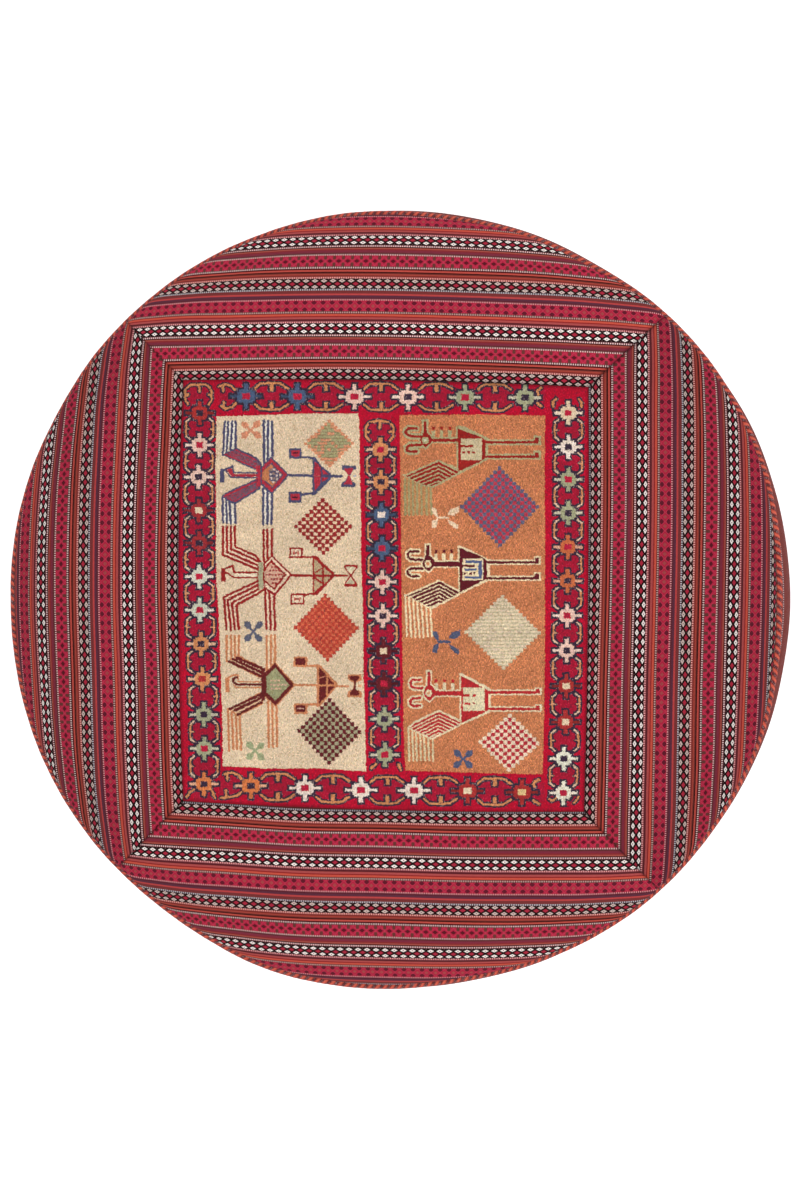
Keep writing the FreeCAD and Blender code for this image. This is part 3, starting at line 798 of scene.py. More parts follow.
        # odd ends of the rows and columns
        corner = [([(188, 387), (191, 384.6), (206, 384.6), (210, 387.5)], [(199.5, 385), (199.5, 391)]),
                  ([(186.6, 388), (184.8, 391), (185, 399), (188, 404)], [(185, 395), (188, 395)]),
                  ([(209.5, 387.5), (211.6, 391), (211.8, 400), (209, 404.5)], [(211, 395), (208.6, 395)]),
                  ([(219, 386.4), (226, 384.2), (231, 386), (235.5, 390)], [(223, 385), (223, 391)]),
                  ([(221, 406), (226, 409), (232, 407), (236, 403)], [(224, 408), (224, 402.6)]),
                  ([(370, 422), (379, 420.6), (388.5, 422)], [(379.5, 421), (379.5, 428)]),
                  ([(368, 424), (365.6, 428), (366, 436), (369.5, 440.5)], [(366, 432), (369, 432)]),
                  ([(391, 424), (393.6, 428), (393.4, 436), (390, 440.5)], [(393, 432), (390, 432)]),
                  ([(224.5, 774), (232, 772.4), (238, 775), (242, 779)], [(227.5, 773), (227.5, 779.5)]),
                  ([(221, 798), (230, 797), (237, 795.5), (241.5, 792)], [(226, 797), (226, 790.5)]),
                  ([(186.8, 797), (190, 792), (194, 789.5)], [(190, 792), (190, 792.5)]),
                  ([(210.5, 789), (213.5, 794), (215, 798)], [(213, 794), (213, 794.5)]),
                  ([(536, 780.5), (533.5, 784), (535, 787)], [(539, 779.5), (535, 781.5)]),
                  ([(533, 800), (538.5, 804)], [(534, 801), (535, 802)]),
                  ([(371, 768.5), (376, 764)], [(372, 767), (373, 766)]),
                  ([(398, 764), (401, 769.5)], [(399, 765), (400, 767)]),
                  ([(549, 799), (553, 800.5), (556, 798)], [(551, 800), (552, 800)]),
                  ([(574, 803), (577, 800), (578, 797)], [(576, 801), (576.5, 800)]),
                  ([(540, 388.5), (537, 391.5), (538.5, 395)], [(541, 388), (538, 390)]),
                  ([(537, 403), (541.5, 406.5)], [(538, 404), (539, 404.5)]),
                  ([(556, 399), (552.5, 403), (553, 407)], [(553, 402), (553.5, 403)]),
                  ([(579, 399), (582, 403), (581.5, 407)], [(581, 402), (581.5, 403)])]
        for bow, stem in corner:
            if layer == 0:
                g.line(bow, 5.2, NAVY)
                g.line(stem, 5.6, NAVY)
            else:
                g.line(bow, 2.1, OCHRE)
                g.line(stem, 2.5, OCHRE)

    # ---- figures on the cream field
    def fringe(tops, ends, width, colour, between=None):
        if between:
            g.poly([tops[0], *tops[1:], *ends[::-1]], between)
        for p, q in zip(tops, ends):
            g.line([p, q], width, colour)

    def along(p, q, f):
        return (p[0] + f * (q[0] - p[0]), p[1] + f * (q[1] - p[1]))

    # first figure: blue-navy outline, red and orange
    n1, red1, org1, pale = (76, 74, 102), (170, 48, 62), (192, 122, 82), (232, 220, 202)
    fringe([(224.7, 421.5), (228.3, 421.5), (232.2, 421.5), (235.9, 421.5)], [(223, 455), (226.8, 452.8), (230.6, 451), (235.5, 449)], 2.4, n1, pale)
    fringe([(263.8, 420.5), (268, 420.8), (272.2, 421)], [(264.2, 463), (267.8, 460), (272.6, 456)], 2.6, n1, pale)
    fringe([(222.6, 497), (226, 499.5), (229.6, 501.5), (235, 502.6)], [(223, 522.4), (227, 523), (231, 523.5), (235.5, 523)], 2.4, n1, pale)
    fringe([(263.2, 489), (267.5, 492), (272, 494.5)], [(263.2, 524.5), (267.6, 524), (271.6, 523.6)], 2.6, n1, pale)
    g.poly([(222.4, 455.2), (231, 450.2), (236, 447.6), (256, 456.8), (262.4, 464.6), (261, 472), (256, 470.4)], n1)
    g.poly([(224, 455), (231, 451.8), (236, 449.6), (255, 458.4), (260.6, 465.4), (260, 470), (257, 468.8)], red1)
    for f in (0.16, 0.42, 0.7, 0.9):
        g.line([along((226, 454.4), (236, 450.4), f), along((258, 468.4), (259.6, 462.6), f)], 1.1, (100, 82, 98))
    g.poly([(221.2, 495.6), (232, 489.6), (255, 479.6), (262, 480), (260.6, 489), (236.4, 503.6), (229.8, 502.6)], n1)
    g.poly([(223.4, 496), (233, 490.8), (256, 481), (260.4, 482), (259, 487.6), (235.6, 501.6), (230.8, 501)], red1)
    for f in (0.14, 0.38, 0.62, 0.86):
        g.line([along((225, 496.6), (234.6, 501.4), f), along((257, 481.8), (259, 487.2), f)], 1.2, (100, 82, 98))
    g.poly([(271, 456), (289.6, 475), (272, 495), (262.6, 486.6), (260.4, 484), (260.4, 468), (263.4, 464.4)], n1)
    g.poly([(271, 458.2), (287.4, 475), (272, 492.6), (263.4, 484.6), (262, 483), (262, 468.4), (264, 465.4)], red1)
    g.poly([(271, 462.6), (283.4, 475), (272.2, 487.8), (265.4, 481.6), (264.2, 480), (264.2, 470.4), (265.6, 468.2)], n1)
    g.poly([(270.8, 464), (281.8, 475), (272.2, 486.4), (266.4, 481), (262.6, 479), (262.6, 471.6), (266.2, 468.6)], org1)
    g.poly([(273.6, 467.8), (280.4, 474.4), (278.2, 480), (272.6, 483.6), (269, 479.8), (269.2, 470.6)], (84, 78, 100))
    for i, (xx, yy) in enumerate(((271.2, 470), (274.4, 469.4), (277.4, 471.6), (270.8, 474), (273.8, 473.6), (276.8, 475.4), (280, 475), (271.4, 478), (274.4, 478.4), (277.2, 479.2), (273, 482))):
        g.rect(xx - 1.1, yy - 1.1, xx + 1.1, yy + 1.1, (210, 188, 176) if i % 4 else (150, 120, 110))
    g.rect(256, 466, 260.6, 486.4, red1)
    g.line([(232.6, 466.4), (233.4, 472.6), (257, 472.9)], 1.6, n1)
    g.line([(225.6, 470.4), (230.8, 477.4), (257, 477.7)], 1.6, n1)
    g.line([(224, 470), (232.6, 466.5)], 2.0, n1)
    g.poly([(226.6, 470.2), (231.8, 468), (233, 473.9), (257, 473.9), (257, 476.7), (231.6, 476.6)], red1)
    g.rect(219.9, 468.8, 225, 471, n1)
    g.rect(219.9, 468.8, 224.2, 482.6, n1)
    g.line([(289, 475.2), (313.6, 475.8)], 2.8, n1)
    g.poly([(312.4, 456.6), (315.6, 457.4), (322, 466.6), (330.8, 473), (330.8, 479), (316, 494.6), (312.4, 495.4)], n1)
    g.poly([(314.4, 460.4), (320.6, 468), (321.2, 476), (320.2, 484), (314.4, 490.8)], red1)
    g.poly([(322.4, 468.8), (329, 474.6), (322.8, 474.6)], red1)
    g.poly([(322.4, 477.6), (328.6, 477.6), (322, 482.6)], red1)
    g.line([(313.4, 476), (320, 476)], 0.8, (150, 80, 80))
    for x0, y0, x1, y1, link in ((289, 448.2, 301.6, 458.6, [(301, 457), (308, 457.4), (313.4, 459)]), (288.5, 491.6, 302, 502.8, [(301.6, 494.4), (313.4, 493.2)])):
        g.line(link, 2.4, n1)
        g.rect(x0, y0, x1, y1, n1)
        g.rect(x0 + 2.1, y0 + 2.2, x1 - 2.0, y1 - 2.4, red1)
        g.rect(x0 + 3.6, 0.5 * (y0 + y1) - 0.6, x1 - 3.4, 0.5 * (y0 + y1) + 0.5, (66, 24, 40))
    g.line([(330.5, 476.2), (341.4, 476.2)], 2.9, n1)
    g.poly([(341.8, 465.4), (356.2, 465.4), (356.2, 469.4), (353, 470.6), (349.2, 477), (345.4, 470.6), (341.8, 469.4)], n1)
    g.poly([(341.2, 487.2), (355.6, 487.2), (355.6, 483.4), (352.6, 481.4), (349, 475), (344.6, 481.4), (341.2, 483.6)], n1)
    g.poly([(343.6, 468.2), (353.6, 468.2), (350.2, 474.4), (347.8, 474.4)], red1)
    g.poly([(344.2, 484.2), (352.8, 484.2), (350, 477.4), (347.8, 477.4)], red1)
    g.rect(348.2, 473, 350, 479, red1)
    g.rect(353.6, 475.2, 356, 477, (150, 150, 170))

    # second figure: brick outline, pale inside
    b2, in2, sg2 = (148, 34, 34), (230, 204, 176), (172, 166, 134)
    u0, u1 = [(223, 526.6), (226.8, 526.4), (231, 526.4), (234.8, 527)], [(223.1, 555), (227.1, 552), (231.2, 549), (235.1, 546.6)]
    e1 = [(257.6, 569.2), (257.8, 565.4), (258.6, 561.4), (255.4, 555.6)]
    fringe(u0, u1, 2.5, b2, in2)
    fringe(u1, e1, 2.5, b2, in2)
    g.line([(255.4, 555.6), (262.2, 563.6)], 2.2, b2)
    fringe([(263.8, 530), (267.3, 529.6), (271.8, 529.4)], [(263.8, 561), (267.6, 558), (271.9, 555)], 2.5, b2, in2)
    l0 = [(224, 597), (227.6, 600), (232, 603), (236.5, 605)]
    fringe([(257.4, 581.4), (258, 585), (258.6, 589), (260, 592.4)], l0, 2.5, b2, in2)
    g.line([(260, 592.2), (263.4, 589)], 2.2, b2)
    fringe(l0, [(226.6, 629), (231, 630), (235, 629.4), (238.8, 629)], 2.5, b2, in2)
    fringe([(265, 589), (269.5, 592), (274, 597)], [(266.5, 629), (271, 629.6), (275, 630)], 2.5, b2, in2)
    g.poly([(258, 562), (263.4, 562.6), (263.4, 588.6), (259, 589)], sg2)
    g.line([(258, 563), (258.2, 588.6)], 1.0, b2)
    g.poly([(271.8, 554.4), (292.6, 575), (275, 596.2), (263.6, 588.8), (263.6, 562.6)], b2)
    g.poly([(271.9, 557), (289.8, 575), (274.9, 593), (265.2, 586.8), (265.2, 564.2)], in2)
    g.poly([(271.2, 559.8), (286.8, 574.8), (274.2, 590.6), (263, 580.6), (263, 570)], b2)
    g.poly([(271.2, 562.4), (284.2, 574.8), (273.8, 587.6), (264.6, 579.6), (264.6, 571)], (216, 170, 146))
    for xa, xb, yy in ((271, 276.4, 567), (269.2, 281.6, 570.5), (266, 283, 574.8), (270.2, 281.4, 579), (272, 279, 583.2)):
        for xx in np.arange(xa, xb, 2.9):
            g.rect(xx, yy - 0.9, min(xx + 2.3, xb), yy + 0.9, (160, 52, 52))
    g.rect(221, 568, 225.4, 581.6, b2)
    g.line([(225, 569), (232.8, 565.6), (234, 572.4), (256.6, 572.5)], 1.9, b2)
    g.line([(225, 571.6), (234.2, 577.5), (257, 577.6)], 1.8, b2)
    g.rect(235, 573.6, 257, 576.6, (230, 212, 184))
    g.line([(291.6, 575.4), (313.4, 575.6)], 2.6, b2)
    g.poly([(312.6, 555.4), (315.8, 555.6), (334.6, 573.4), (334.6, 576.6), (317, 595), (312.6, 595.4)], b2)
    for cell in ([(314.4, 558.6), (322, 566), (322, 567.6), (314.4, 572.4)], [(314.8, 573.8), (322, 569.2), (322, 574.4), (314.8, 574.4)],
                 [(314.4, 578.8), (322, 584), (322, 585), (314.4, 592.2)], [(314.8, 576.9), (322, 576.9), (322, 581.8)],
                 [(324.2, 567.6), (331.4, 574.4), (324.2, 574.4)], [(324.2, 576.9), (331.4, 576.9), (324.2, 584)]):
        g.poly(cell, (178, 154, 120))
    for x0, y0, x1, y1, link in ((289.5, 547.4, 303, 558.2, [(302, 557), (313.4, 557)]), (290.5, 593.4, 304.6, 604.6, [(303, 595), (313.4, 593.6)])):
        g.line(link, 2.0, b2)
        g.rect(x0, y0, x1, y1, b2)
        g.rect(x0 + 1.9, y0 + 1.9, x1 - 1.9, y1 - 1.9, (228, 204, 176))
        m = 0.5 * (y0 + y1)
        g.rect(x0 + 3.4, m - 0.8, x1 - 3.6, m + 0.8, b2)
        for xx in (x0 + 4.6, x1 - 5.0):
            g.rect(xx - 0.7, m - 2.2, xx + 0.7, m + 2.2, (190, 96, 84))
    g.line([(334, 575.5), (347, 575.5)], 2.1, b2)
    g.rect(344, 564.8, 357.8, 567.2, b2)
    g.rect(344, 584, 357.4, 586.6, b2)
    for x0, x1, ya, yb in ((344.8, 350.4, 567, 575.6), (357, 350.8, 567, 575.6), (344.8, 350.4, 584.4, 575.6), (356.8, 350.8, 584.4, 575.6)):
        g.line([(x0, ya), (x1, yb)], 1.6, b2)
    g.poly([(346.6, 584), (355.2, 584), (350.8, 578)], (186, 174, 142))
    g.poly([(347, 567.2), (355, 567.2), (350.8, 573.4)], (216, 204, 172))

    # third figure: orange lines, maroon arms, sage heart
    o3, m3, gap3 = (200, 128, 88), (100, 34, 34), (222, 184, 148)
    fringe([(226.6, 636), (231, 635.6), (234.7, 635.6), (239, 636)], [(226.8, 661), (231.2, 658.6), (235, 657.4), (238.8, 655)], 2.4, o3, (226, 200, 166))
    fringe([(266.6, 636), (271.1, 635.8), (275, 635.6)], [(266.8, 670), (271, 667), (275, 664)], 2.4, o3, (226, 200, 166))
    fringe([(228.2, 709), (231.8, 711.6), (236, 714), (239.7, 716)], [(229.2, 750.6), (233.4, 749), (237.1, 749), (241.3, 749.6)], 2.4, o3, (226, 200, 166))
    fringe([(268.2, 700.6), (272.4, 702.6), (276.6, 704.6)], [(268.7, 746.4), (272.9, 746.8), (277.1, 746.4)], 2.4, o3, (226, 200, 166))
    g.poly([(227.6, 662.2), (238, 655.2), (262.4, 666.8), (264, 678.6), (258.6, 677.6)], o3)
    g.poly([(229.4, 661.6), (238, 656.6), (262, 667.8), (261.6, 676.4), (258.8, 676)], gap3)
    for p, q in (((237.4, 658), (261.6, 668.2)), ((232.9, 659.2), (261, 672.1)), ((229.6, 661.6), (261, 676))):
        g.line([p, q], 2.9, m3)
    g.poly([(227.6, 709.2), (260, 692), (264, 692), (263, 704.4), (238, 716.6)], o3)
    g.poly([(229.8, 709), (260.6, 693.2), (262.6, 703), (238, 715)], gap3)
    for p, q in (((230, 708.8), (261.4, 694.2)), ((234.6, 710.6), (261.8, 697.6)), ((238, 714.4), (261.6, 702.2))):
        g.line([p, q], 2.9, m3)
    g.poly([(275, 661.6), (295.8, 685.2), (275.6, 707), (264, 696), (264, 673)], o3)
    g.poly([(275, 663), (294.4, 685.2), (275.6, 705.4), (264, 695.2), (264, 673.6)], m3)
    g.poly([(275.2, 667.6), (289.8, 685), (275.6, 700.6), (266.8, 692.4), (266.4, 676.4)], (152, 150, 112))
    for yy, xa, xb in ((680.6, 270.4, 281), (684.8, 270, 286), (688.6, 271, 281)):
        for xx in np.arange(xa, xb, 3.6):
            g.rect(xx, yy - 0.8, xx + 2.6, yy + 0.8, (208, 166, 142))
    g.rect(261.3, 668, 265.2, 700.8, m3)
    g.line([(238, 681.6), (261, 681.8)], 1.3, o3)
    g.line([(233.6, 684.8), (236, 687.6), (261, 687.4)], 1.3, o3)
    g.line([(226, 679.2), (232, 675.4), (237.6, 674.8), (238, 679)], 2.0, o3)
    g.rect(225.5, 677.6, 229.6, 692.2, o3)
    g.line([(236.6, 677.6), (233, 678.8), (233, 681.6), (236.4, 684.4), (261, 684.5)], 2.7, m3)
    g.line([(294, 684.9), (318, 685.2)], 2.2, o3)
    g.poly([(316.6, 664.6), (320.4, 664.8), (337, 683.4), (337, 686.4), (319.6, 706.6), (316.6, 706.6)], o3)
    g.poly([(319.2, 667), (326.2, 675), (326.2, 684.3), (319.2, 684.3)], m3)
    g.poly([(319.2, 686.4), (326.2, 686.4), (326.2, 696.6), (319.2, 704)], m3)
    g.poly([(328.1, 676.6), (334.8, 684.3), (328.1, 684.3)], m3)
    g.poly([(328.1, 686.4), (334.8, 686.4), (328.1, 694.4)], m3)
    g.line([(319.4, 678.4), (325.8, 675.8)], 0.9, (190, 120, 96))
    for x0, y0, x1, y1, link in ((293.4, 656.4, 307.6, 667, [(306, 666), (318, 666)]), (294, 703.2, 307.6, 714, [(306, 704.6), (317.6, 704.6)])):
        g.line(link, 2.5, o3)
        g.rect(x0, y0, x1, y1, o3)
        g.rect(x0 + 2.0, y0 + 1.7, x1 - 2.3, y1 - 2.0, m3)
    g.rect(297.6, 707.6, 303.6, 709.0, (196, 156, 136))
    g.line([(336, 686.2), (348, 686.2)], 2.1, o3)
    g.rect(358.2, 684.6, 361.8, 686.8, (214, 158, 120))
    g.poly([(347.8, 674.4), (361.8, 674.4), (361.8, 679.8), (356, 683), (356, 689), (361.8, 691.6), (361.8, 697.4), (347.4, 697.4), (347.4, 691.6), (353.6, 689), (353.6, 683), (348, 679.8)], o3)
    g.poly([(349.4, 675.8), (359, 675.8), (359, 679), (356.4, 681), (355.8, 685), (356.4, 689), (359, 691.4), (359, 695.4), (349.8, 695.4), (350, 692), (353.6, 689), (354.2, 685), (353.6, 681), (349.6, 679)], m3)

    # small crosses of leaves: four petals on thin arms
    def leaves(cx, cy, petals, colour):
        for px, py in petals:
            dx, dy = px - cx, py - cy
            n = math.hypot(dx, dy)
            dx, dy = dx / n, dy / n
            g.line([(cx, cy), (px, py)], 2.3, colour)
            g.poly([(px + dx * 4.8, py + dy * 4.8), (px - dy * 3.5 + dx * 1.4, py + dx * 3.5 + dy * 1.4), (px - dy * 2.8 - dx * 2.8, py + dx * 2.8 - dy * 2.8),
                    (px - dx * 5.0, py - dy * 5.0), (px + dy * 2.8 - dx * 2.8, py - dx * 2.8 - dy * 2.8), (px + dy * 3.5 + dx * 1.4, py - dx * 3.5 + dy * 1.4)], colour)

    leaves(250.4, 430.2, [(244.9, 425.0), (257.2, 424.0), (245.0, 435.0), (257.6, 435.2)], (204, 134, 104))
    leaves(253.0, 631.6, [(247.6, 624.8), (259.2, 625.0), (247.6, 638.2), (258.8, 638.0)], (92, 92, 108))
    leaves(255.0, 750.6, [(249.8, 745.2), (260.8, 745.8), (249.8, 756.4), (261.0, 756.8)], (154, 160, 122))
    leaves(463.2, 759.2, [(457.2, 753.2), (469.2, 753.4), (457.2, 764.6), (469.0, 764.6)], (80, 86, 112))

    # ---- diamonds woven cell by cell, so their edges are stepped
    def woven(T, R, B, L, n):
        """Cell counts across and down from the middle, inside a diamond n cells deep."""
        w = g.window(L[0] - 4, T[1] - 4, R[0] + 4, B[1] + 4)
        x, y = X[w], Y[w]
        mx = T[0] + (B[0] - T[0]) * (y - T[1]) / (B[1] - T[1])
        my = L[1] + (R[1] - L[1]) * (x - L[0]) / (R[0] - L[0])
        ix = np.rint((x - mx) * (2 * n + 1) / (R[0] - L[0]))
        down = (y - my) * (2 * n + 1) / (B[1] - T[1])
        iy = np.rint(down)
        ring = np.abs(ix) + np.abs(iy)
        return w, ix, iy, ring, ring <= n, np.abs(down - iy)

    def checked(T, R, B, L, n, a, b, tall=0.5):
        """The second colour's cells are cut down to twice this height, so that the first colour's wraps look tall."""
        w, ix, iy, ring, mask, off = woven(T, R, B, L, n)
        second = (ring + n) % 2 == 1
        g.fill(w, mask & ~(second & (off < tall)), a)
        g.fill(w, mask & second & (off < tall), b)

    def flecked(T, R, B, L, n, a, b, dash, share, seed, edge=None):
        w, ix, iy, ring, mask, _ = woven(T, R, B, L, n)
        y = Y[w]
        line = ((y - T[1]) * (2 * n + 1) / (B[1] - T[1])) % 1.0 > 0.66
        g.fill(w, mask, a)
        g.fill(w, mask & line, b)
        if dash:
            h = np.sin(ix * 12.9898 + iy * 78.233 + seed) * 43758.5453
            g.fill(w, mask & ~line & ((h - np.floor(h)) < share), dash)
        if edge:
            g.fill(w, mask & (ring == n), edge)

    flecked((329, 419.8), (355.8, 443.4), (329.4, 467.8), (305.8, 443.4), 7, (162, 156, 114), (146, 130, 98), (212, 142, 108), 0.36, 1.0, (212, 140, 104))
    checked((322.6, 498.2), (353, 526.6), (323.6, 554.8), (295.2, 526.6), 7, (146, 40, 40), (226, 198, 166), 0.35)
    checked((325.2, 594.6), (359.8, 628), (327.8, 662.4), (295.2, 627.4), 9, (180, 64, 50), (206, 100, 72), 0.4)
    checked((329.6, 698.6), (361.4, 732.2), (329.2, 765.2), (297.4, 730.8), 8, (98, 34, 38), (164, 158, 126), 0.45)
    checked((499.2, 466.4), (541.6, 506.8), (500, 547), (462.8, 506.8), 10, (96, 92, 114), (182, 58, 74))
    flecked((502.2, 595.2), (540.8, 633), (503.4, 669.8), (464.6, 631.8), 10, (220, 200, 168), (188, 174, 142), (212, 190, 164), 0.3, 3.0)
    checked((510, 714.2), (540.6, 743.4), (508.8, 771.4), (479.4, 741.8), 7, (230, 206, 180), (178, 46, 54))

    # ---- birds on the orange field
    def bird(b):
        ink, rim, w = b["ink"], b["rim"], b.get("w", 1.4)
        # pale edge first
        for pts, width in b["hooks"]:
            g.line(pts, width + 2 * w + 0.8, rim)
        x0, y0, x1, y1 = b["crest"]
        g.rect(x0 - w - 0.1, y0 - w - 0.4, x1 + w + 0.1, y1 + 2, rim)
        ex, ey, er, ery = b["head"]
        g.poly([(ex - er - w, ey), (ex - er * 0.6, ey - ery - w), (ex + er * 0.6, ey - ery - w), (ex + er + 2 * w, ey - 1), (ex + er + w, ey + 3), (ex + 0.4, ey + ery + 1.6 * w), (ex - er * 0.7, ey + ery * 0.8)], rim)
        nx, ny0, ny1 = b["neck"]
        g.rect(ex, ny0 - w, nx, ny1 + w, rim)
        for dx, dy in b["dots"]:
            g.rect(dx - 1.7, dy + 2.4, dx + 1.7, ny0, rim)
        g.poly(b["body_edge"], rim)
        lx0, lx1 = b["leg_x"]
        for ya, yb, foot in b["legs"]:
            g.rect(lx0 - 2, ya - w, lx1 + w, yb + w, rim)
            g.rect(lx1 - 4.2 - w, foot - w - 0.2, lx1 + w, yb, rim)
        g.rect(lx0 - 1.6, b["legs"][0][1], lx0, b["legs"][1][0], rim)
        # tail: nested chevrons and the threads that hang from them
        ax, ay, sl, sr, pitch = b["tail"]
        q_w, body = g.inside(b["tail_outline"])
        tx, ty = X[q_w], Y[q_w]
        h = np.where(tx < ax, ay + sl * (ax - tx), ay + sr * (tx - ax))
        q = (ty - h) / pitch
        stripe = (q - np.floor(q)) < b["tail_share"]
        g.fill(q_w, body, rim)
        g.fill(q_w, body & stripe & g.inside(b["tail_inner"], q_w)[1], ink)
        # ink
        for pts, width in b["hooks"]:
            g.line(pts, width, ink)
        g.rect(x0, y0, x1, y1 + 2, ink)
        g.poly([(ex - er, ey), (ex - er * 0.45, ey - ery), (ex + er * 0.45, ey - ery), (ex + er + w, ey - 1.4), (ex + er, ey + 2.6), (ex + 0.4, ey + ery), (ex - er * 0.6, ey + ery * 0.6)], ink)
        g.rect(ex + er - 1, ny0, nx + 1.5, ny1, ink)
        g.poly([(ex - 3.7, ey), (ex - 1.8, ey - 3.5), (ex + 1.8, ey - 3.5), (ex + 3.7, ey), (ex + 1.8, ey + 3.5), (ex - 1.8, ey + 3.5)], rim)
        g.rect(ex - 1.5, ey - 1.4, ex + 1.5, ey + 1.4, b["pupil"])
        for dx, dy in b["dots"]:
            g.rect(dx - 1.5, dy - 1.6, dx + 1.5, dy + 1.6, ink)
        g.poly(b["body"], ink)
        for ya, yb, foot in b["legs"]:
            g.rect(lx0 - 2, ya, lx1 - 0.6, yb, ink)
            g.rect(lx1 - 4.6, foot, lx1 - 0.6, yb, ink)
        sx0, sy0, sx1, sy1 = b["square"]
        g.rect(sx0, sy0, sx1, sy1, b["square_rim"])
        for r in b["bars"]:
            g.rect(*r[:4], r[4])
        fringe(b["threads"][0], b["threads"][1], b["thread_w"], b["thread"], b.get("thread_gap"))

    brick1, sage1 = (148, 34, 30), (174, 164, 122)
    bird({
        "ink": brick1, "rim": sage1, "pupil": (206, 206, 176), "w": 1.6,
        "hooks": [([(416.4, 428.5), (408, 428.4), (405.8, 430.8), (406.4, 434.4), (410.4, 436.2), (421, 436.6)], 2.5),
                  ([(421, 445.0), (410.4, 445.2), (406.6, 447.4), (407.2, 450.6), (410.6, 451.9), (416.6, 451.4)], 2.6)],
        "crest": (423.5, 421.5, 426.8, 435), "head": (425.5, 440.2, 5.6, 7.0), "neck": (457.8, 438.7, 441.8),
        "dots": [(433.5, 428.3), (441.5, 427.9), (449.8, 428.1)],
        "body_edge": [(456.0, 425.8), (463, 426), (488.2, 437.8), (488.2, 459.6), (482.4, 462.6), (457, 475.6)],
        "body": [(457.8, 428.6), (482, 437.2), (485.6, 440.2), (485.6, 457.4), (482, 461), (458.6, 471.6)],
        "leg_x": (487, 539.4), "legs": [(441.0, 443.6, 437.4), (455.4, 458.0, 452.4)],
        "tail": (438.6, 461.8, 0.41, 0.5, 4.0), "tail_share": 0.66,
        "tail_outline": [(402.6, 475.4), (438.8, 459.8), (458.6, 468.6), (458.6, 474.6), (434.4, 487.4), (428, 488.6)],
        "tail_inner": [(405.4, 476.2), (438.8, 461.6), (458.8, 470), (457.6, 473.2), (434, 485.2), (426.6, 486.2)],
        "square": (461, 438.6, 482, 460), "square_rim": (198, 180, 144),
        "bars": [(458.4, 445, 473, 447.4, brick1), (462.4, 451.4, 465, 453.6, brick1), (467.4, 451.4, 470, 453.6, brick1), (472.4, 451.4, 474.6, 453.6, brick1)],
        "threads": ([(404.8, 478), (408.8, 480), (412.8, 481.6), (417, 483.4), (421.4, 485.6), (426.4, 486.8), (430.8, 487.4)],
                    [(405.4, 515), (409.2, 515), (413.2, 515), (417.3, 514.8), (421.7, 515), (426.8, 514.8), (431.4, 514.4)]),
        "thread_w": 2.3, "thread": (160, 148, 104), "thread_gap": (188, 132, 86),
    })
    maroon2, cream2 = (94, 28, 36), (234, 212, 172)
    blue2 = (84, 94, 130)
    bird({
        "ink": maroon2, "rim": cream2, "pupil": (202, 126, 82), "w": 1.35,
        "hooks": [([(418.4, 551.6), (410.4, 551.4), (407.8, 553.6), (408.2, 557.0), (411, 559.4), (422, 559.8)], 2.4),
                  ([(422, 568.6), (411, 568.6), (408, 571), (408.2, 574.0), (411.6, 576.2), (418.4, 576.2)], 2.5)],
        "crest": (426.1, 545.1, 429.5, 558), "head": (428.2, 563.9, 6.0, 7.8), "neck": (459.2, 561.6, 566.6),
        "dots": [(436.0, 551.4), (443.8, 551.1), (451.6, 551.3)],
        "body_edge": [(457.6, 545.2), (460, 545.4), (490, 559.6), (490, 580.2), (484.6, 582.4), (458.4, 595.4)],
        "body": [(459.2, 547.2), (484, 557.8), (487, 560.6), (487, 578.6), (482.4, 581.2), (459.8, 592.4)],
        "leg_x": (488, 539.6), "legs": [(561.0, 563.5, 557.8), (577.0, 579.5, 573.8)],
        "tail": (439.5, 581.4, 0.427, 0.557, 3.7), "tail_share": 0.68,
        "tail_outline": [(404.8, 594.6), (439.3, 579.6), (459, 590.2), (459, 595.6), (431.4, 609.6), (428.6, 608.6)],
        "tail_inner": [(407.4, 595.8), (439.4, 581.4), (459.6, 592.2), (458, 594.2), (431, 607.6), (429, 607.2)],
        "square": (462.6, 558.6, 483.2, 580.2), "square_rim": cream2,
        "bars": [(465, 560.4, 482, 563.2, blue2), (478.4, 560.4, 482, 578.6, blue2), (465, 568.4, 476.4, 570.7, blue2), (465, 576.3, 481.4, 578.6, blue2),
                 (461.5, 564.9, 475, 567.0, maroon2), (463.6, 572.4, 466.4, 574.7, maroon2), (469.2, 572.4, 471.8, 574.7, maroon2), (473.6, 572.4, 475.6, 574.7, maroon2)],
        "threads": ([(405.4, 595), (409, 597), (413, 599.4), (417, 601.8), (421.5, 604.2), (426, 606.6), (430.6, 608.6)],
                    [(407.0, 636.4), (411.5, 636.8), (415.5, 636.4), (419.8, 637), (423.6, 637.6), (427.9, 637.2), (432, 636.2)]),
        "thread_w": 1.9, "thread": cream2,
    })
    red3, rim3 = (178, 42, 46), (224, 206, 170)
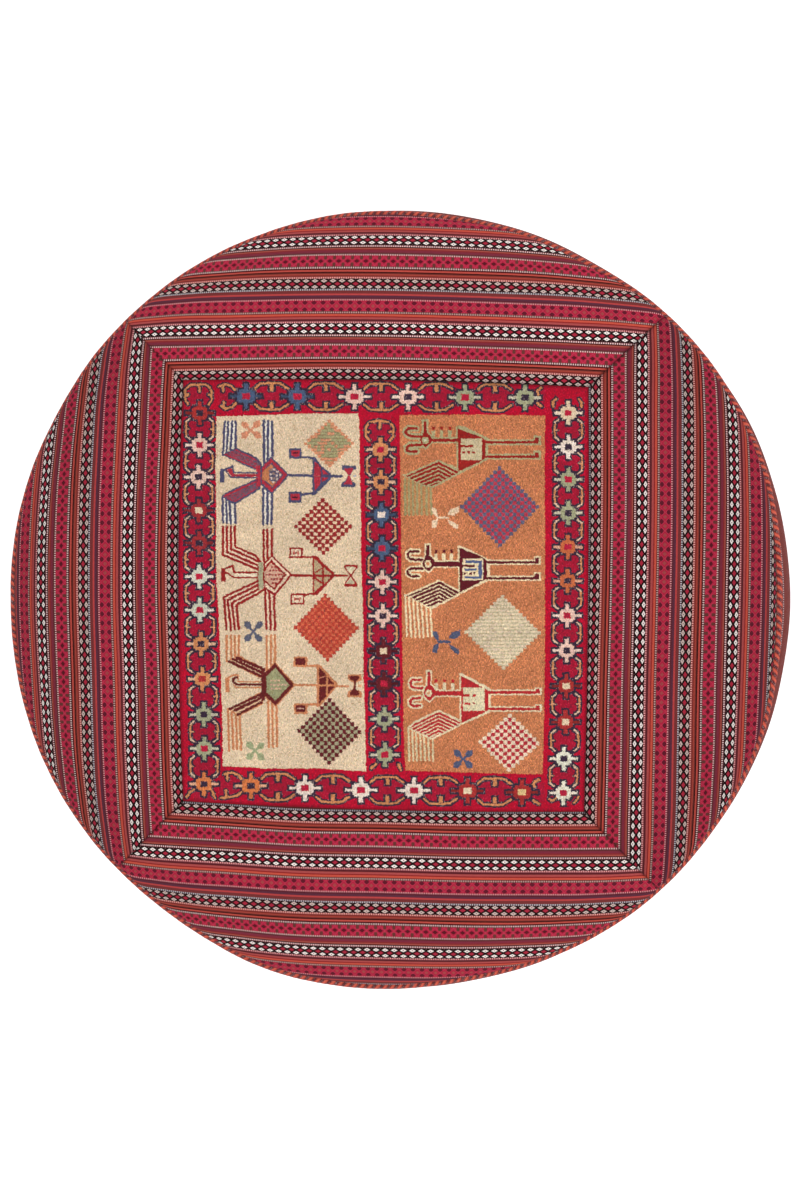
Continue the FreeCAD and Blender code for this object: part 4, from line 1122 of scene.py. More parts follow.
    bird({
        "ink": red3, "rim": rim3, "pupil": (206, 150, 108), "w": 1.35,
        "hooks": [([(420.4, 679.6), (412.6, 679.8), (410.8, 682), (411, 686), (413.8, 688.0), (422.4, 688.2)], 2.4),
                  ([(420.4, 698.0), (413, 698.4), (410.2, 700.6), (410.6, 704.4), (413.6, 706.0), (420.2, 705.6)], 2.7)],
        "crest": (427.3, 671.6, 430.5, 687), "head": (429, 693.2, 5.8, 7.6), "neck": (461.4, 691, 695.6),
        "dots": [(436.3, 680.9), (444.5, 680.6), (452.8, 680.9)],
        "body_edge": [(459.4, 673.2), (462, 673.2), (491, 688.6), (491, 711.4), (487, 714), (459.8, 725.4)],
        "body": [(461, 675.6), (484, 687.8), (488.4, 690.2), (488.4, 709.8), (484, 712.6), (461.4, 723)],
        "leg_x": (489, 540.4), "legs": [(690.9, 693.8, 688.9), (707.6, 710.4, 705.6)],
        "tail": (438.8, 711.8, 0.49, 0.478, 3.6), "tail_share": 0.64,
        "tail_outline": [(406.8, 728), (414, 721.6), (438.7, 709.8), (460.6, 719.8), (460.6, 726), (432, 740), (429.6, 739)],
        "tail_inner": [(409.6, 728), (415, 723), (438.7, 711.6), (461, 721.4), (459, 724.6), (432, 738), (430.4, 737.2)],
        "square": (463, 687.6, 484.6, 710.8), "square_rim": (218, 204, 168),
        "bars": [(462.4, 694.2, 470, 696.8, red3), (472.4, 694.4, 475.4, 696.8, red3), (464.6, 702.4, 470, 704.6, red3), (472.4, 702.4, 475, 704.4, red3)],
        "threads": ([(408.4, 728), (412.2, 729.6), (416, 731.6), (420, 733.8), (424.0, 735.8), (428.3, 737.6), (432.6, 739.6)],
                    [(409.2, 760.6), (413.6, 760.6), (417, 760.8), (421.0, 760.4), (425.0, 760.6), (429, 760.4), (433.2, 760.6)]),
        "thread_w": 2.0, "thread": (216, 198, 158),
    })

    # bows between the birds
    for dx, dy, colour in ((0.0, 0.0, (230, 200, 168)), (0.9, 124.2, (80, 86, 110))):
        big = 1.0 if dy == 0 else 1.1
        for pts in ([(431.6, 507.4), (436.2, 508.6), (438.2, 514), (437.6, 516.8), (434.8, 515.4), (431.8, 511.6)],
                    [(448.0, 512.4), (450.4, 509.4), (458.8, 506.4), (459.0, 512), (454.2, 515.2), (448.4, 515)],
                    [(432.4, 520.6), (438.2, 518.4), (437.6, 523), (436.2, 527.6), (431.6, 527.6)],
                    [(447.8, 519.8), (452.2, 521.4), (458.2, 525), (458.0, 529.2), (453.4, 527.2), (449.2, 523.4)]):
            g.poly([(445 + (x - 445) * 1.0 + dx, 517.6 + (y - 517.6) * big + dy) for x, y in pts], colour)
        g.line([(437.4 + dx, 517.6 + dy), (448.4 + dx, 517.6 + dy)], 2.0 if dy == 0 else 2.8, colour)
    return g.C


# ------------------------------------------------------------------ centre panel
NI, NJ = 296, 326      # mesh faces across and rows down; each holds two by two woven cells


def panel_xy(a, b):
    """a runs left to right, b from the far side to the near side."""
    corner = {k: np.array(v) for k, v in PANEL.items()}
    a, b = a[..., None], b[..., None]
    p = (1 - b) * ((1 - a) * corner["TL"] + a * corner["TR"]) + b * ((1 - a) * corner["BL"] + a * corner["BR"])
    bow_a, bow_b = 4 * a * (1 - a), 4 * b * (1 - b)
    p = p + bow_b * ((1 - a) ** 2 * np.array([-BULGE["left"], 0]) + a ** 2 * np.array([BULGE["right"], 0]))
    p = p + bow_a * ((1 - b) ** 2 * np.array([0, BULGE["back"]]) + b ** 2 * np.array([0, -BULGE["front"]]))
    return p


def seam_groove(d, deep=1.15, wide=2.1):
    return -deep * np.exp(-(d / wide) ** 2)


def dome(xy):
    r = np.hypot(xy[..., 0], xy[..., 1])
    return np.concatenate([xy, z_top(r)[..., None]], -1)


def swell_for(coarse_xy, si, sj, peak):
    r = np.hypot(coarse_xy[..., 0], coarse_xy[..., 1])
    crown = H_RIM + 24.0 + 16.0 * (1 - (r / R_TOP) ** 2)
    return upsample(puffed(np.concatenate([coarse_xy, crown[..., None]], -1), peak), si, sj)


sa, sb = np.linspace(0, 1, NI + 1), np.linspace(0, 1, NJ + 1)
a_, b_ = np.meshgrid(sa, sb, indexing="ij")
ca, cb = np.meshgrid(np.linspace(0, 1, 49), np.linspace(0, 1, 49), indexing="ij")
xy = panel_xy(a_, b_)
P = dome(xy)
P = P + swell_for(panel_xy(ca, cb), sa, sb, 2.0)
edge_d = np.minimum(np.minimum(a_ * 311, (1 - a_) * 311), np.minimum(b_ * 325, (1 - b_) * 325))
P[..., 2] += seam_groove(edge_d)
P[..., 2] += 0.10 * rng.standard_normal(P.shape[:2]) * smooth(edge_d, 0, 3) + 0.35 * lumps(xy[..., 0], xy[..., 1], 60.0, 3) * smooth(edge_d, 0, 12)

# picture places of the woven cells: quarter points of every face
centre = np.empty((2 * NI, 2 * NJ, 3))
for i, fi in enumerate((0.25, 0.75)):
    for j, fj in enumerate((0.25, 0.75)):
        centre[i::2, j::2] = (P[:-1, :-1] * (1 - fi) + P[1:, :-1] * fi) * (1 - fj) + (P[:-1, 1:] * (1 - fi) + P[1:, 1:] * fi) * fj
px, py = picture(centre)
wob = np.random.default_rng(11)
px = px + 0.42 * lumps(px, py, 7.0, 21) + 0.22 * wob.standard_normal(px.shape)
py = py + 0.42 * lumps(px, py, 7.0, 22) + 0.22 * wob.standard_normal(py.shape)
C = draw_panel(px, py)

# the wraps of the motifs stand a little above the plain ground between them
plain = np.zeros(C.shape[:2], bool)
for ground in (RED, CREAM, ORANGE):
    plain |= np.abs(C - np.array(ground)).max(-1) < 2
cell = np.pad((~plain).astype(float), 1, mode="edge")
proud = 0.25 * (cell[0::2, 0::2] + cell[1::2, 0::2] + cell[0::2, 1::2] + cell[1::2, 1::2])
P[..., 2] += 0.3 * proud * smooth(edge_d, 0, 3)

# yarn colour differs from wrap to wrap, more so on the pale grounds
g2 = np.random.default_rng(12)
light = C.mean(-1, keepdims=True)


def per_wrap(share):
    """Random numbers held over runs of two cells, as the wraps are."""
    n = share((2 * NI, NJ + 1))
    return np.repeat(n, 2, axis=1)[:, :2 * NJ][..., None]


orange = np.abs(C - np.array(ORANGE)).max(-1, keepdims=True) < 1
navy = np.abs(C - np.array(NAVY)).max(-1, keepdims=True) < 1
C = C * (1 + (0.05 + 0.05 * orange) * per_wrap(g2.standard_normal) + 0.04 * g2.standard_normal(px.shape)[..., None]) + 3.0 * g2.standard_normal(C.shape)
speck = per_wrap(g2.random)
C = np.where((speck < 0.10) & (light > 110), C * np.array([0.88, 0.84, 0.78]), C)
C = np.where((speck > 0.93) & (light > 110), C * 1.04 + 5, C)
C = np.where((speck < 0.05) & (light <= 110), C * 1.12 + 12, C)
C = np.where((speck > 0.94) & navy, 0.45 * C + 0.55 * np.array([206, 180, 168]), C)
C = np.where((speck > 0.90) & (speck < 0.94) & (light > 70) & (light <= 110), 0.5 * C + 0.5 * np.array(NAVY), C)
C = C * (1 + 0.04 * lumps(px * 0.3, py, 22.0, 31))[..., None]
weft = lin_array(C)

# painted shade along the panel's edge seam
seam = np.exp(-(edge_d / 1.6) ** 2)
cloth_uv = np.stack([a_ * NI, b_ * NJ], -1)
P2, uv2, seam2 = skirt(P, np.array([0, 0, -0.7]), cloth_uv, seam)
weft2 = {"Weft%d%d" % (i, j): np.pad(weft[i::2, j::2], ((1, 1), (1, 1), (0, 0)), mode="edge") for i in (0, 1) for j in (0, 1)}
panel = to_mesh("centre_panel_rug", P2, M_RUG, {"cloth": uv2}, weft2, seam2, flip=True, bake=bake_map(*P2.shape[:2]))
finish_piece(panel, "seat", "centre_panel")

# ------------------------------------------------------------------ four borders of striped cloth
BI = 300
T_ = np.concatenate([np.linspace(0, 0.9, 85), np.linspace(0.9, 1, 37)[1:]])    # closer rows over the shoulder


def rim_angle(corner):
    """Angle at which a mitre seam meets the rim."""
    p, q = np.array(PANEL[corner]), np.array(MITRE[corner])
    d = q - p
    a, b, c = d @ d, 2 * p @ d, p @ p - R_TOP ** 2
    t = (-b + math.sqrt(b * b - 4 * a * c)) / (2 * a)
    end = p + t * d
    return math.atan2(end[1], end[0]), end


def border_grid(c0, c1, side, s, t):
    """Grid from the panel's edge (column 0) to the rim; rows run from corner c0 to corner c1."""
    edge = {
        "back": lambda s: panel_xy(s, 0 * s), "right": lambda s: panel_xy(1 + 0 * s, s),
        "front": lambda s: panel_xy(1 - s, 1 + 0 * s), "left": lambda s: panel_xy(0 * s, 1 - s),
    }[side](s)
    a0, a1 = rim_angle(c0)[0], rim_angle(c1)[0]
    if a1 > a0:
        a1 -= 2 * math.pi
    ang = a0 + s * (a1 - a0)
    rim = R_TOP * np.stack([np.cos(ang), np.sin(ang)], -1)
    t = t[None, :, None]
    return edge[:, None] * (1 - t) + rim[:, None] * t


def line_gap(xy, corner):
    """Distance from a mitre seam."""
    p, q = np.array(PANEL[corner]), np.array(MITRE[corner])
    d = (q - p) / np.linalg.norm(q - p)
    return np.abs((xy[..., 0] - p[0]) * d[1] - (xy[..., 1] - p[1]) * d[0])


# how dark and how wide the painted shade along each mitre's seam is
MITRE_SHADE = {"TL": (0.55, 0.8), "TR": (1.0, 1.3), "BR": (0.8, 0.9), "BL": (0.9, 1.0)}


def mitre_shade(xy, corner):
    dark, wide = MITRE_SHADE[corner]
    return dark * np.exp(-(line_gap(xy, corner) / wide) ** 2)


# (corner, corner, side, columns hidden in the seam along the way, picture place of one white lozenge)
BORDERS = [
    ("TL", "TR", "back", (-1.3, -0.2, 0.3, 0.0, -0.1), ("x", 357.4)),
    ("TR", "BR", "right", (2.0, 1.9, 1.1, 0.2, 0.4), ("y", 567.3)),
    ("BR", "BL", "front", (1.6, 2.0, 1.8, 3.1, 1.8), ("x", 358.5)),
    ("BL", "TL", "left", (-0.6, -0.7, 0.8, 0.6, -0.7), ("y", 568.2)),
]
# painted shade towards the rim on the left and right borders: how strong it is at the rim
RIM_PAINTED_SHADE = {"left": 0.17, "right": 0.2}
for c0, c1, side, lead, lozenge in BORDERS:
    S_ = np.linspace(0, 1, BI)
    xy = border_grid(c0, c1, side, S_, T_)
    P = dome(xy)
    r = np.hypot(xy[..., 0], xy[..., 1])
    d_edge = np.linalg.norm(xy - xy[:, :1], axis=-1)
    d_mitre = np.minimum(line_gap(xy, c0), line_gap(xy, c1))
    d_rim = R_TOP - r
    d = np.minimum(d_edge, d_mitre)
    P = P + swell_for(border_grid(c0, c1, side, np.linspace(0, 1, 61), np.linspace(0, 1, 25)), S_, T_, 2.1) * smooth(d_rim, 0, 22)[..., None]
    P[..., 2] += seam_groove(d_edge) + seam_groove(d_mitre, 0.6, 1.3)
    P[..., 2] += 0.30 * lumps(xy[..., 0], xy[..., 1], 45.0, 40 + len(side)) * smooth(np.minimum(d, d_rim), 0, 12)
    # the filled edge rolls out over the piping
    turn = np.arctan2(xy[..., 1], xy[..., 0])
    stand = rim_out(turn) * smooth(d_rim, 24, 0) + bag_out(turn) * smooth(d_rim, 14, 3)
    P[..., :2] *= (1 + (np.interp(d_rim, ROLL_E, ROLL_R) + stand) / r)[..., None]
    P[..., 2] += np.interp(d_rim, ROLL_E, ROLL_Z)
    # places on the flat cloth
    A, B = np.array(PANEL[c0]), np.array(PANEL[c1])
    along = (B - A) / np.linalg.norm(B - A)
    out = np.array([-along[1], along[0]])
    fx, fy = cloth_point(xy[..., 0], xy[..., 1])
    ex, ey = fx[:, :1], fy[:, :1]
    v = (fx - ex) * out[0] + (fy - ey) * out[1]
    u = (fx - A[0]) * along[0] + (fy - A[1]) * along[1]
    v = v - RIM_EASE * smooth(r, 245.0, 290.0) + stand * (xy[..., 0] * out[0] + xy[..., 1] * out[1]) / r
    amount, place, wide = DRIFT[side]
    v = v + amount * np.exp(-((v - place) / wide) ** 2)
    u = u + stand * (xy[..., 0] * along[0] + xy[..., 1] * along[1]) / r
    hidden = upsample(np.array(lead)[:, None].repeat(2, 1), np.clip((u / np.linalg.norm(B - A) - 0.1) / 0.8, 0, 1).ravel(), np.zeros(1)).reshape(u.shape)
    # one white lozenge of the inner band sits where the picture shows it
    mid_px, mid_py = picture(P[:, 6])
    seen = mid_px if lozenge[0] == "x" else mid_py
    order = np.argsort(seen)
    u0 = np.interp(lozenge[1], seen[order], u[:, 6][order])
    cloth_uv = np.stack([u - u0, v - hidden * D_UNIT], -1)
    # painted shade along the panel seam and the mitres, and a painted shadow under the rolled edge at the rim
    seam = np.maximum(np.maximum(np.exp(-(d_edge / 1.5) ** 2), np.maximum(mitre_shade(xy, c0), mitre_shade(xy, c1))), 0.9 * np.exp(-(d_rim / 1.7) ** 2))
    seam = np.maximum(seam, RIM_PAINTED_SHADE.get(side, 0.0) * smooth(d_rim, 70, 0))      # painted shade: the left and right borders darken towards the rim
    P2, uv2, seam2 = skirt(P, np.array([0, 0, -0.7]), cloth_uv, seam)
    ob = to_mesh("border_%s_cloth" % side, P2, M_STRIPE[side], {"cloth": uv2}, None, seam2, flip=True, bake=bake_map(*P2.shape[:2]))
    finish_piece(ob, "seat", "border_%s" % side)
    flat_w, flat_l = float(np.ptp(u)) + 20.0, float(v.max()) + 12.0

# ------------------------------------------------------------------ piping
TURN = 720


def welt(name, centre, side, body, node):
    """Bias strip round a cord: an open tube, its slit hidden in the seam."""
    ang = np.linspace(0, 2 * math.pi, TURN + 1)
    phi = np.linspace(math.radians(-130), math.radians(215), 21) * side
    A, F = np.meshgrid(ang, phi, indexing="ij")
    wave = 0.16 * np.sin(A * 41 + 1.0) + 0.12 * np.sin(A * 97 + 2.0) + 0.10 * np.sin(A * 23)
    r = 2.94 + 0.07 * np.sin(A * 323 + F)
    rad = centre[0] + r * np.cos(F) + 0.3 * wave - 0.1 + (rim_out(A) if side > 0 else 0.0)
    z = centre[1] + r * np.sin(F) + 0.25 * wave
    P = np.stack([rad * np.cos(A), rad * np.sin(A), z], -1)
    # v grows outwards over the top of the welt
    uv = np.stack([A * 297.0, -F * side * 3.0], -1)
    rows = 16
    seg = np.arange(TURN + 1) / TURN * rows
    ob = to_mesh(name, P, M_PIPING, {"cloth": uv}, wrap_i=True, flip=(side < 0))
    me = ob.data
    layer = me.uv_layers.new(name="OFBake")
    ii, jj = np.meshgrid(np.arange(TURN), np.arange(20), indexing="ij")
    ci = np.stack([ii, ii + 1, ii + 1, ii], -1).reshape(-1, 4)
    cj = np.stack([jj, jj, jj + 1, jj + 1], -1).reshape(-1, 4)
    row = np.floor(seg[ii.reshape(-1)])[:, None]
    bu = 0.004 + 0.992 * np.clip(seg[ci] - row, 0, 1)
    bv = (row + 0.06 + 0.88 * cj / 20.0) / rows
    if side < 0:
        bu, bv = bu[:, ::-1], bv[:, ::-1]
    layer.data.foreach_set("uv", np.stack([bu, bv], -1).astype(np.float32).ravel())
    finish_piece(ob, body, node)
    return ob


def filler(name, centre, body, node):
    """Three-strand cotton cord."""
    ang = np.linspace(0, 2 * math.pi, 541)
    phi = np.linspace(0, 2 * math.pi, 13)
    A, F = np.meshgrid(ang, phi, indexing="ij")
    r = 1.74 + 0.12 * np.cos(3 * (F + A * 60))
    rad = centre[0] + r * np.cos(F) + (rim_out(A) if body == "seat" else 0.0)
    P = np.stack([rad * np.cos(A), rad * np.sin(A), centre[1] + r * np.sin(F)], -1)
    ob = to_mesh(name, P, M_CORD, wrap_i=True, wrap_j=True)
    return finish_piece(ob, body, node)


filler("top_piping_cord_filler", (297.0, 319.0), "seat", "top_piping_cord")
filler("bottom_piping_cord_filler", (294.5, 4.2), "base", "bottom_piping_cord")
welt("top_piping_bias", (297.0, 319.0), 1, "seat", "top_piping_cover")
welt("bottom_piping_bias", (294.5, 4.2), -1, "base", "bottom_piping_cover")

# ------------------------------------------------------------------ side band, four lengths with the stripes running round
SI, SJ = 200, 130


def band_grid(k, ni, nj, shrink=0.0):
    a0 = math.radians(45 + 90 * k)
    ang = np.linspace(a0, a0 + math.pi / 2, ni)[:, None]
    z = np.linspace(Z_HIGH, Z_LOW, nj)[None, :]
    q = (z - 0.5 * (Z_LOW + Z_HIGH)) / (0.5 * (Z_HIGH - Z_LOW))
    d_seam = 0.5 * math.pi * 297.0 * np.minimum(np.linspace(0, 1, ni), np.linspace(1, 0, ni))[:, None]
    tight = shrink * smooth(d_seam, 0, 45)                               # the lengths stay full where they join
    r = R_BAND_END + (R_CLOTH - R_BAND_END - tight) * (1 - q ** 8)       # and right up to the piping
    return np.stack([r * np.cos(ang), r * np.sin(ang), z + 0 * ang], -1)


for k in range(4):
    P = band_grid(k, SI, SJ, 1.2) + upsample(puffed(band_grid(k, 45, 33, 1.2), 1.4, 12.0, 3.0), np.linspace(0, 1, SI), np.linspace(0, 1, SJ))
    st = unit_grid(SI, SJ)
    arc = st[..., 0] * 0.5 * math.pi * 297.0
    d_side = np.minimum(arc, 0.5 * math.pi * 297.0 - arc)
    down = st[..., 1] * (Z_HIGH - Z_LOW)
    d_end = np.minimum(down, (Z_HIGH - Z_LOW) - down)
    push = seam_groove(d_side, 0.5, 1.8) + 0.5 * lumps(arc + 470 * k, down, 90.0, 61 + k) * smooth(np.minimum(d_side, d_end), 0, 25)
    push = push + side_out(np.arctan2(P[..., 1], P[..., 0])) * smooth(d_end, 0, 30)
    radial = P.copy()
    radial[..., 2] = 0
    radial /= np.linalg.norm(radial, axis=-1, keepdims=True)
    P = P + radial * push[..., None]
    # painted shade along the band's seams and at its top and bottom by the pipings
    seam = np.maximum(np.exp(-(d_side / 1.5) ** 2), 0.6 * np.exp(-(d_end / 1.8) ** 2))
    uv = np.stack([arc + 466.5 * k + 3.5 * k, down], -1)
    P2, uv2, seam2 = skirt(P, np.array([0, 0, 0]), uv, seam)
    for sl in (np.s_[0, :], np.s_[-1, :]):
        P2[sl] *= np.array([1 - 1.2 / 297, 1 - 1.2 / 297, 1])
    # both edges run on behind the piping
    P2[:, 0] *= np.array([1 - 0.4 / 294, 1 - 0.4 / 294, 1])
    P2[:, 0, 2] += 2.5
    P2[:, -1] *= np.array([1 - 1.4 / 294, 1 - 1.4 / 294, 1])
    P2[:, -1, 2] -= 1.6
    ob = to_mesh("side_band_%d_cloth" % (k + 1), P2, M_SIDE, {"cloth": uv2}, None, seam2, flip=True, bake=bake_map(*P2.shape[:2]))
    finish_piece(ob, "base", "side_band_%d" % (k + 1))

# ------------------------------------------------------------------ underside: two canvas halves folded up into the zip's channel


def channel(y):
    y = np.abs(y)
    return np.interp(y, [0, 10, 26, 400], [4.2, 4.2, 0.0, 0.0])


def base_half(name, sign, node):
    ni, nj = 181, 91
    s = np.linspace(-1, 1, ni)
    x = 290.4 * np.sin(s * 0.5 * math.pi)
    far = np.sqrt(291.0 ** 2 - x ** 2)
    t = np.concatenate([np.linspace(0, 0.12, 31), np.linspace(0.12, 1, nj - 30)[1:]])
    far = np.maximum(far, 7.2)
    y = 6.5 + (far[:, None] - 6.5) * t[None, :]
    X = np.repeat(x[:, None], nj, 1)
    near = smooth(np.hypot(X, y), 291, 270)
    z = channel(y) + 0.25 + 0.22 * (1 + lumps(X, y * sign, 55.0, 81)) * near
    # topstitch dent beside the hem
    z = z + 0.25 * np.exp(-((y - 8.3) / 0.7) ** 2)
    P = np.stack([X, sign * y, z], -1)
    # hem: the edge turns up and back
    first = P[:, :1].copy()
    first[..., 2] += 1.5
    second = P[:, :1].copy()
    second[..., 2] += 2.6
    second[..., 1] += sign * 2.0
    P = np.concatenate([second, first, P], 1)
    # and the round edge turns up into the piping's seam
    P = np.pad(P, ((1, 1), (0, 1), (0, 0)), mode="edge")
    for sl in (np.s_[0, :], np.s_[-1, :], np.s_[1:-1, -1]):
        P[sl][..., :2] *= (292.1 / np.hypot(P[sl][..., 0], P[sl][..., 1]))[..., None]
        P[sl][..., 2] += 1.6
    ob = to_mesh(name, P, M_CANVAS, flip=(sign < 0))
    finish_piece(ob, "base", node)
    return ob


base_half("base_canvas_back", 1, "base_panel_back")
base_half("base_canvas_front", -1, "base_panel_front")


def joined(name, parts, material, faces_smooth=True):
    """One mesh from many (vertices in millimetres, faces) parts."""
    verts, faces, n = [], [], 0
    for v, f in parts:
        verts.append(np.asarray(v, float))
        faces += [tuple(i + n for i in q) for q in f]
        n += len(v)
    me = bpy.data.meshes.new(name)
    me.from_pydata([tuple(p * MM) for p in np.concatenate(verts)], [], faces)
    me.validate()
    for p in me.polygons:
        p.use_smooth = faces_smooth
    me.materials.append(material)
    ob = bpy.data.objects.new(name, me)
    bpy.context.scene.collection.objects.link(ob)
    return ob


def block(x0, x1, y0, y1, z0, z1, b):
    """Box with its edges cut back by b."""
    v, f = [], []
    rings = [(z0, b), (z0 + b, 0), (z1 - b, 0), (z1, b)]
    for z, inset in rings:
        xa, xb, ya, yb = x0 + inset, x1 - inset, y0 + inset, y1 - inset
        v += [(xa + b, ya, z), (xb - b, ya, z), (xb, ya + b, z), (xb, yb - b, z), (xb - b, yb, z), (xa + b, yb, z), (xa, yb - b, z), (xa, ya + b, z)]
    for k in range(3):
        for i in range(8):
            j = (i + 1) % 8
            f.append((k * 8 + i, k * 8 + j, k * 8 + 8 + j, k * 8 + 8 + i))
    f.append(tuple(range(7, -1, -1)))
    f.append(tuple(range(24, 32)))
    return v, f


def capsule(p, q, r, n=6):
    """A stitch: a short thread that dips at both ends."""
    p, q = np.array(p, float), np.array(q, float)
    v, f = [], []
    stations = np.linspace(0, 1, 7)
    axis = (q - p) / np.linalg.norm(q - p)
    side = np.cross(axis, (0, 0, 1.0))
    for s in stations:
        c = p + s * (q - p)
        rise = math.sin(math.pi * s)
        rr = r * (0.55 + 0.45 * rise ** 0.5)
        c = c + np.array([0, 0, -0.35 * r * rise])
        for i in range(n):
            a = 2 * math.pi * i / n
            v.append(c + rr * (math.cos(a) * side + math.sin(a) * np.array([0, 0, 1.0])))
    m = len(stations)
    for k in range(m - 1):
        for i in range(n):
            j = (i + 1) % n
            f.append((k * n + i, k * n + j, k * n + n + j, k * n + n + i))
    f.append(tuple(range(n - 1, -1, -1)))
    f.append(tuple(range((m - 1) * n, m * n)))
    return v, f


# zip: tapes, interlocked teeth, stops, tabs and stitches
for name, sign in (("back", 1), ("front", -1)):
    ni, nj = 151, 9
    x = np.linspace(-226, 226, ni)
    y = np.linspace(0.9, 16.0, nj)
    X, Y = np.meshgrid(x, y, indexing="ij")
    Z = 7.8 - 0.2625 * np.maximum(Y - 10, 0) + 0.05 * np.sin(X * 0.11 + Y)
    ob = to_mesh("zip_tape_%s_woven" % name, np.stack([X, sign * Y, Z], -1), M_TAPE, flip=(sign < 0))
    finish_piece(ob, "base", "zip_tape_%s" % name)
    parts = []
    pitch = 2.2
    count = int(427 / pitch)
    for i in range(count):
        x0 = -213.6 + i * pitch + (0.0 if sign > 0 else 0.5 * pitch)
        if x0 + 1.0 > 213.9:
            continue
        y0, y1 = (0.5, 3.0)
        lo, hi = (y0, y1) if sign > 0 else (-y1, -y0)
        parts.append(block(x0, x0 + 1.0, lo, hi, 5.15, 7.35, 0.22))
    # the cord that the teeth are sewn to
    lo, hi = (2.2, 2.9) if sign > 0 else (-2.9, -2.2)
    parts.append(block(-213.9, 213.9, lo, hi, 5.9, 7.3, 0.2))
    ob = joined("zip_teeth_%s_row" % name, parts, M_TEETH, False)
    finish_piece(ob, "base", "zip_teeth_%s" % name)

stitches = []
for sign in (1, -1):
    for i in range(112):
        x0 = -223.6 + i * 4.0
        stitches.append(capsule((x0, sign * 8.3, 3.95), (x0 + 3.0, sign * 8.3, 3.95), 0.3))
ob = joined("zip_stitches", stitches, M_THREAD)
finish_piece(ob, "base", "zip_stitching")

tab_parts = []
for x0, x1 in ((218.6, 291.2), (-291.2, -219.6)):
    tab_parts.append(block(x0, x1, -6.3, 6.3, 4.55, 7.15, 0.5))
ob = joined("zip_tabs_canvas", tab_parts, M_CANVAS, False)
finish_piece(ob, "base", "zip_end_tabs")


def dress(node, material, bevel=0.0):
    """A carried-over solid gets a finish and slightly eased edges."""
    o = nodes[node]
    o.data.materials.clear()
    o.data.materials.append(material)
    if bevel:
        m = o.modifiers.new("eased", "BEVEL")
        m.width, m.segments, m.limit_method = bevel, 2, "ANGLE"
        m.angle_limit = math.radians(35)


for node in ("zip_end_stops", "zip_slider", "zip_pull"):
    dress(node, M_METAL, 0.00015)

# ------------------------------------------------------------------ lining, calico case and filling (inside)


def disc(name, radius, drop, material, body, node, wrinkle, seed):
    ni, nj = 193, 49
    A, R = np.meshgrid(np.linspace(0, 2 * math.pi, ni), np.linspace(0.02, 1, nj) * radius, indexing="ij")
    x, y = R * np.cos(A), R * np.sin(A)
    z = z_top(R) - drop - wrinkle * (1 + lumps(x, y, 40.0, seed)) * 0.5
    ob = to_mesh(name, np.stack([x, y, z], -1), material, wrap_i=True)
    finish_piece(ob, body, node)
    return ob


disc("top_lining_cotton", 285.0, 2.3, M_LINING, "seat", "top_lining", 0.3, 91)
disc("insert_bag_top_calico", 284.0, 3.2, M_CALICO, "seat", "insert_bag_top", 0.3, 92)

# calico side wall
ang = np.linspace(0, 2 * math.pi, 181)[:, None]
z = np.linspace(312.0, 9.5, 41)[None, :]
rad = r_band(z) - 3.6 - 0.25 * (1 + lumps(ang * 297, z + 0 * ang, 50.0, 93))
P = np.stack([rad * np.cos(ang), rad * np.sin(ang), z + 0 * ang], -1)
ob = to_mesh("insert_bag_side_calico", P, M_CALICO, wrap_i=True, flip=True)
finish_piece(ob, "base", "insert_bag_side")
BAG_SIDE = ob

# calico floor with its channel over the zip
ni, nj = 145, 145
g = unit_grid(ni, nj) * 2 - 1
sq = np.stack([g[..., 0] * np.sqrt(1 - 0.5 * g[..., 1] ** 2), g[..., 1] * np.sqrt(1 - 0.5 * g[..., 0] ** 2)], -1) * 283.0
z = 2.2 + np.interp(np.abs(sq[..., 1]), [0, 13, 29, 400], [7.6, 7.6, 0, 0]) + 0.4 + 0.15 * lumps(sq[..., 0], sq[..., 1], 60.0, 94)
ob = to_mesh("insert_bag_base_calico", np.concatenate([sq, z[..., None]], -1), M_CALICO)
finish_piece(ob, "base", "insert_bag_base")


def copy_node(node, name, material):
    o = bpy.data.objects.new(name, nodes[node].data.copy())
    o.data.materials.clear()
    o.data.materials.append(material)
    o.matrix_world = nodes[node].matrix_world.copy()
    bpy.context.scene.collection.objects.link(o)
    return o


foam = copy_node("foam_core", "foam_core_block", M_FOAM)
finish_piece(foam, "base", "foam_core")

# fibre topper: a lumpy closed pad
ni = 193
prof = [(0.4, None)]
rr = np.linspace(0.4, 288.6, 40)
top_z = z_top(rr) - 4.6
side_pts = [(289.0, 313.0), (290.6, 300.0), (292.2, 282.0), (293.2, 263.4), (290.0, 262.4)]
rad = np.concatenate([rr, [p[0] for p in side_pts], np.linspace(280, 0.4, 12)])
zz = np.concatenate([top_z, [p[1] for p in side_pts], np.full(12, 262.3)])
A = np.linspace(0, 2 * math.pi, ni)[:, None]
x, y = rad * np.cos(A), rad * np.sin(A)
up = (np.arange(len(rad)) < 40)[None, :]
z = zz + np.where(up, -0.5 * (1 + lumps(x, y, 35.0, 95)) * 0.5, 0.0)
ob = to_mesh("fibre_topper_wadding", np.stack([x, y, z + 0 * A], -1), M_FIBRE, wrap_i=True)
finish_piece(ob, "seat", "fibre_topper")

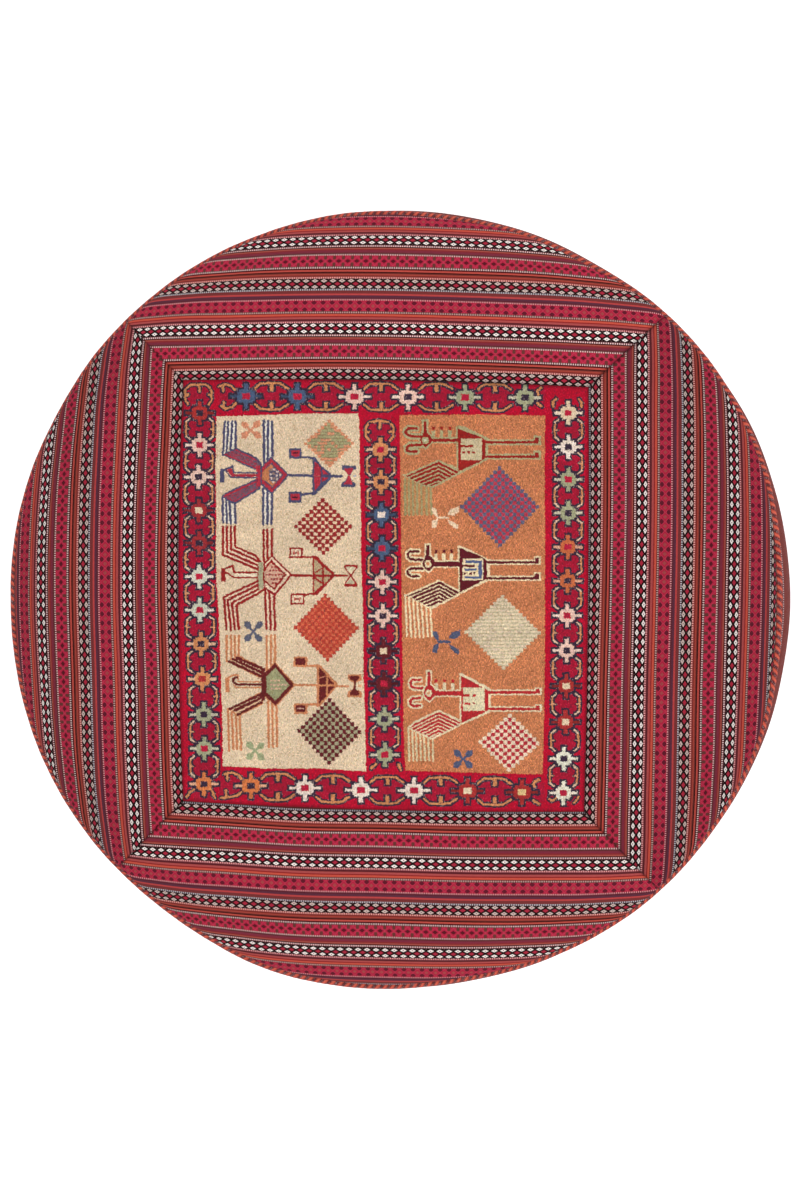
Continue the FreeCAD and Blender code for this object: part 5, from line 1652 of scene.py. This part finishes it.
# ------------------------------------------------------------------ soft pieces get meshes of their own
for k in range(4):
    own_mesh(PIECES["side_band_%d_cloth" % (k + 1)])
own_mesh(BAG_SIDE)
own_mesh(foam)

# ------------------------------------------------------------------ floor, light and world
me = bpy.data.meshes.new("floor")
me.from_pydata([(-9, -9, 0), (9, -9, 0), (9, 9, 0), (-9, 9, 0)], [], [(0, 1, 2, 3)])
floor = bpy.data.objects.new("floor", me)
bpy.context.scene.collection.objects.link(floor)
k = Kit("studio_floor", rough=0.95, specular=0.0)
k.bsdf.inputs["Base Color"].default_value = (0.9, 0.9, 0.9, 1)
k.bsdf.inputs["Emission Color"].default_value = (1, 1, 1, 1)
k.bsdf.inputs["Emission Strength"].default_value = 0.6
# a sheet of paper with no back, so that the underside can be looked at
back = k.node("ShaderNodeNewGeometry")
clear = k.node("ShaderNodeBsdfTransparent")
pick = k.node("ShaderNodeMixShader")
k.tree.links.new(back.outputs["Backfacing"], pick.inputs[0])
k.tree.links.new(k.bsdf.outputs[0], pick.inputs[1])
k.tree.links.new(clear.outputs[0], pick.inputs[2])
k.tree.links.new(pick.outputs[0], next(n for n in k.tree.nodes if n.type == "OUTPUT_MATERIAL").inputs["Surface"])
me.materials.append(k.mat)

world = bpy.data.worlds.new("studio")
bpy.context.scene.world = world
world.use_nodes = True
bg = world.node_tree.nodes["Background"]
bg.inputs[0].default_value = (1.0, 1.0, 1.0, 1)
bg.inputs[1].default_value = 0.555


def soft_light(name, place, size, watts):
    data = bpy.data.lights.new(name, "AREA")
    data.shape = "DISK"
    data.size = size
    data.energy = watts
    ob = bpy.data.objects.new(name, data)
    bpy.context.scene.collection.objects.link(ob)
    ob.location = place
    ob.rotation_euler = (Vector((0, 0, 0.3)) - Vector(place)).to_track_quat("-Z", "Y").to_euler()
    return ob


soft_light("key", (0.5, 0.1, 3.5), 2.2, 49.5)
soft_light("fill", (1.4, -1.6, 2.6), 2.4, 11.0)
bpy.context.scene.view_settings.view_transform = "Standard"
bpy.context.scene.view_settings.look = "None"
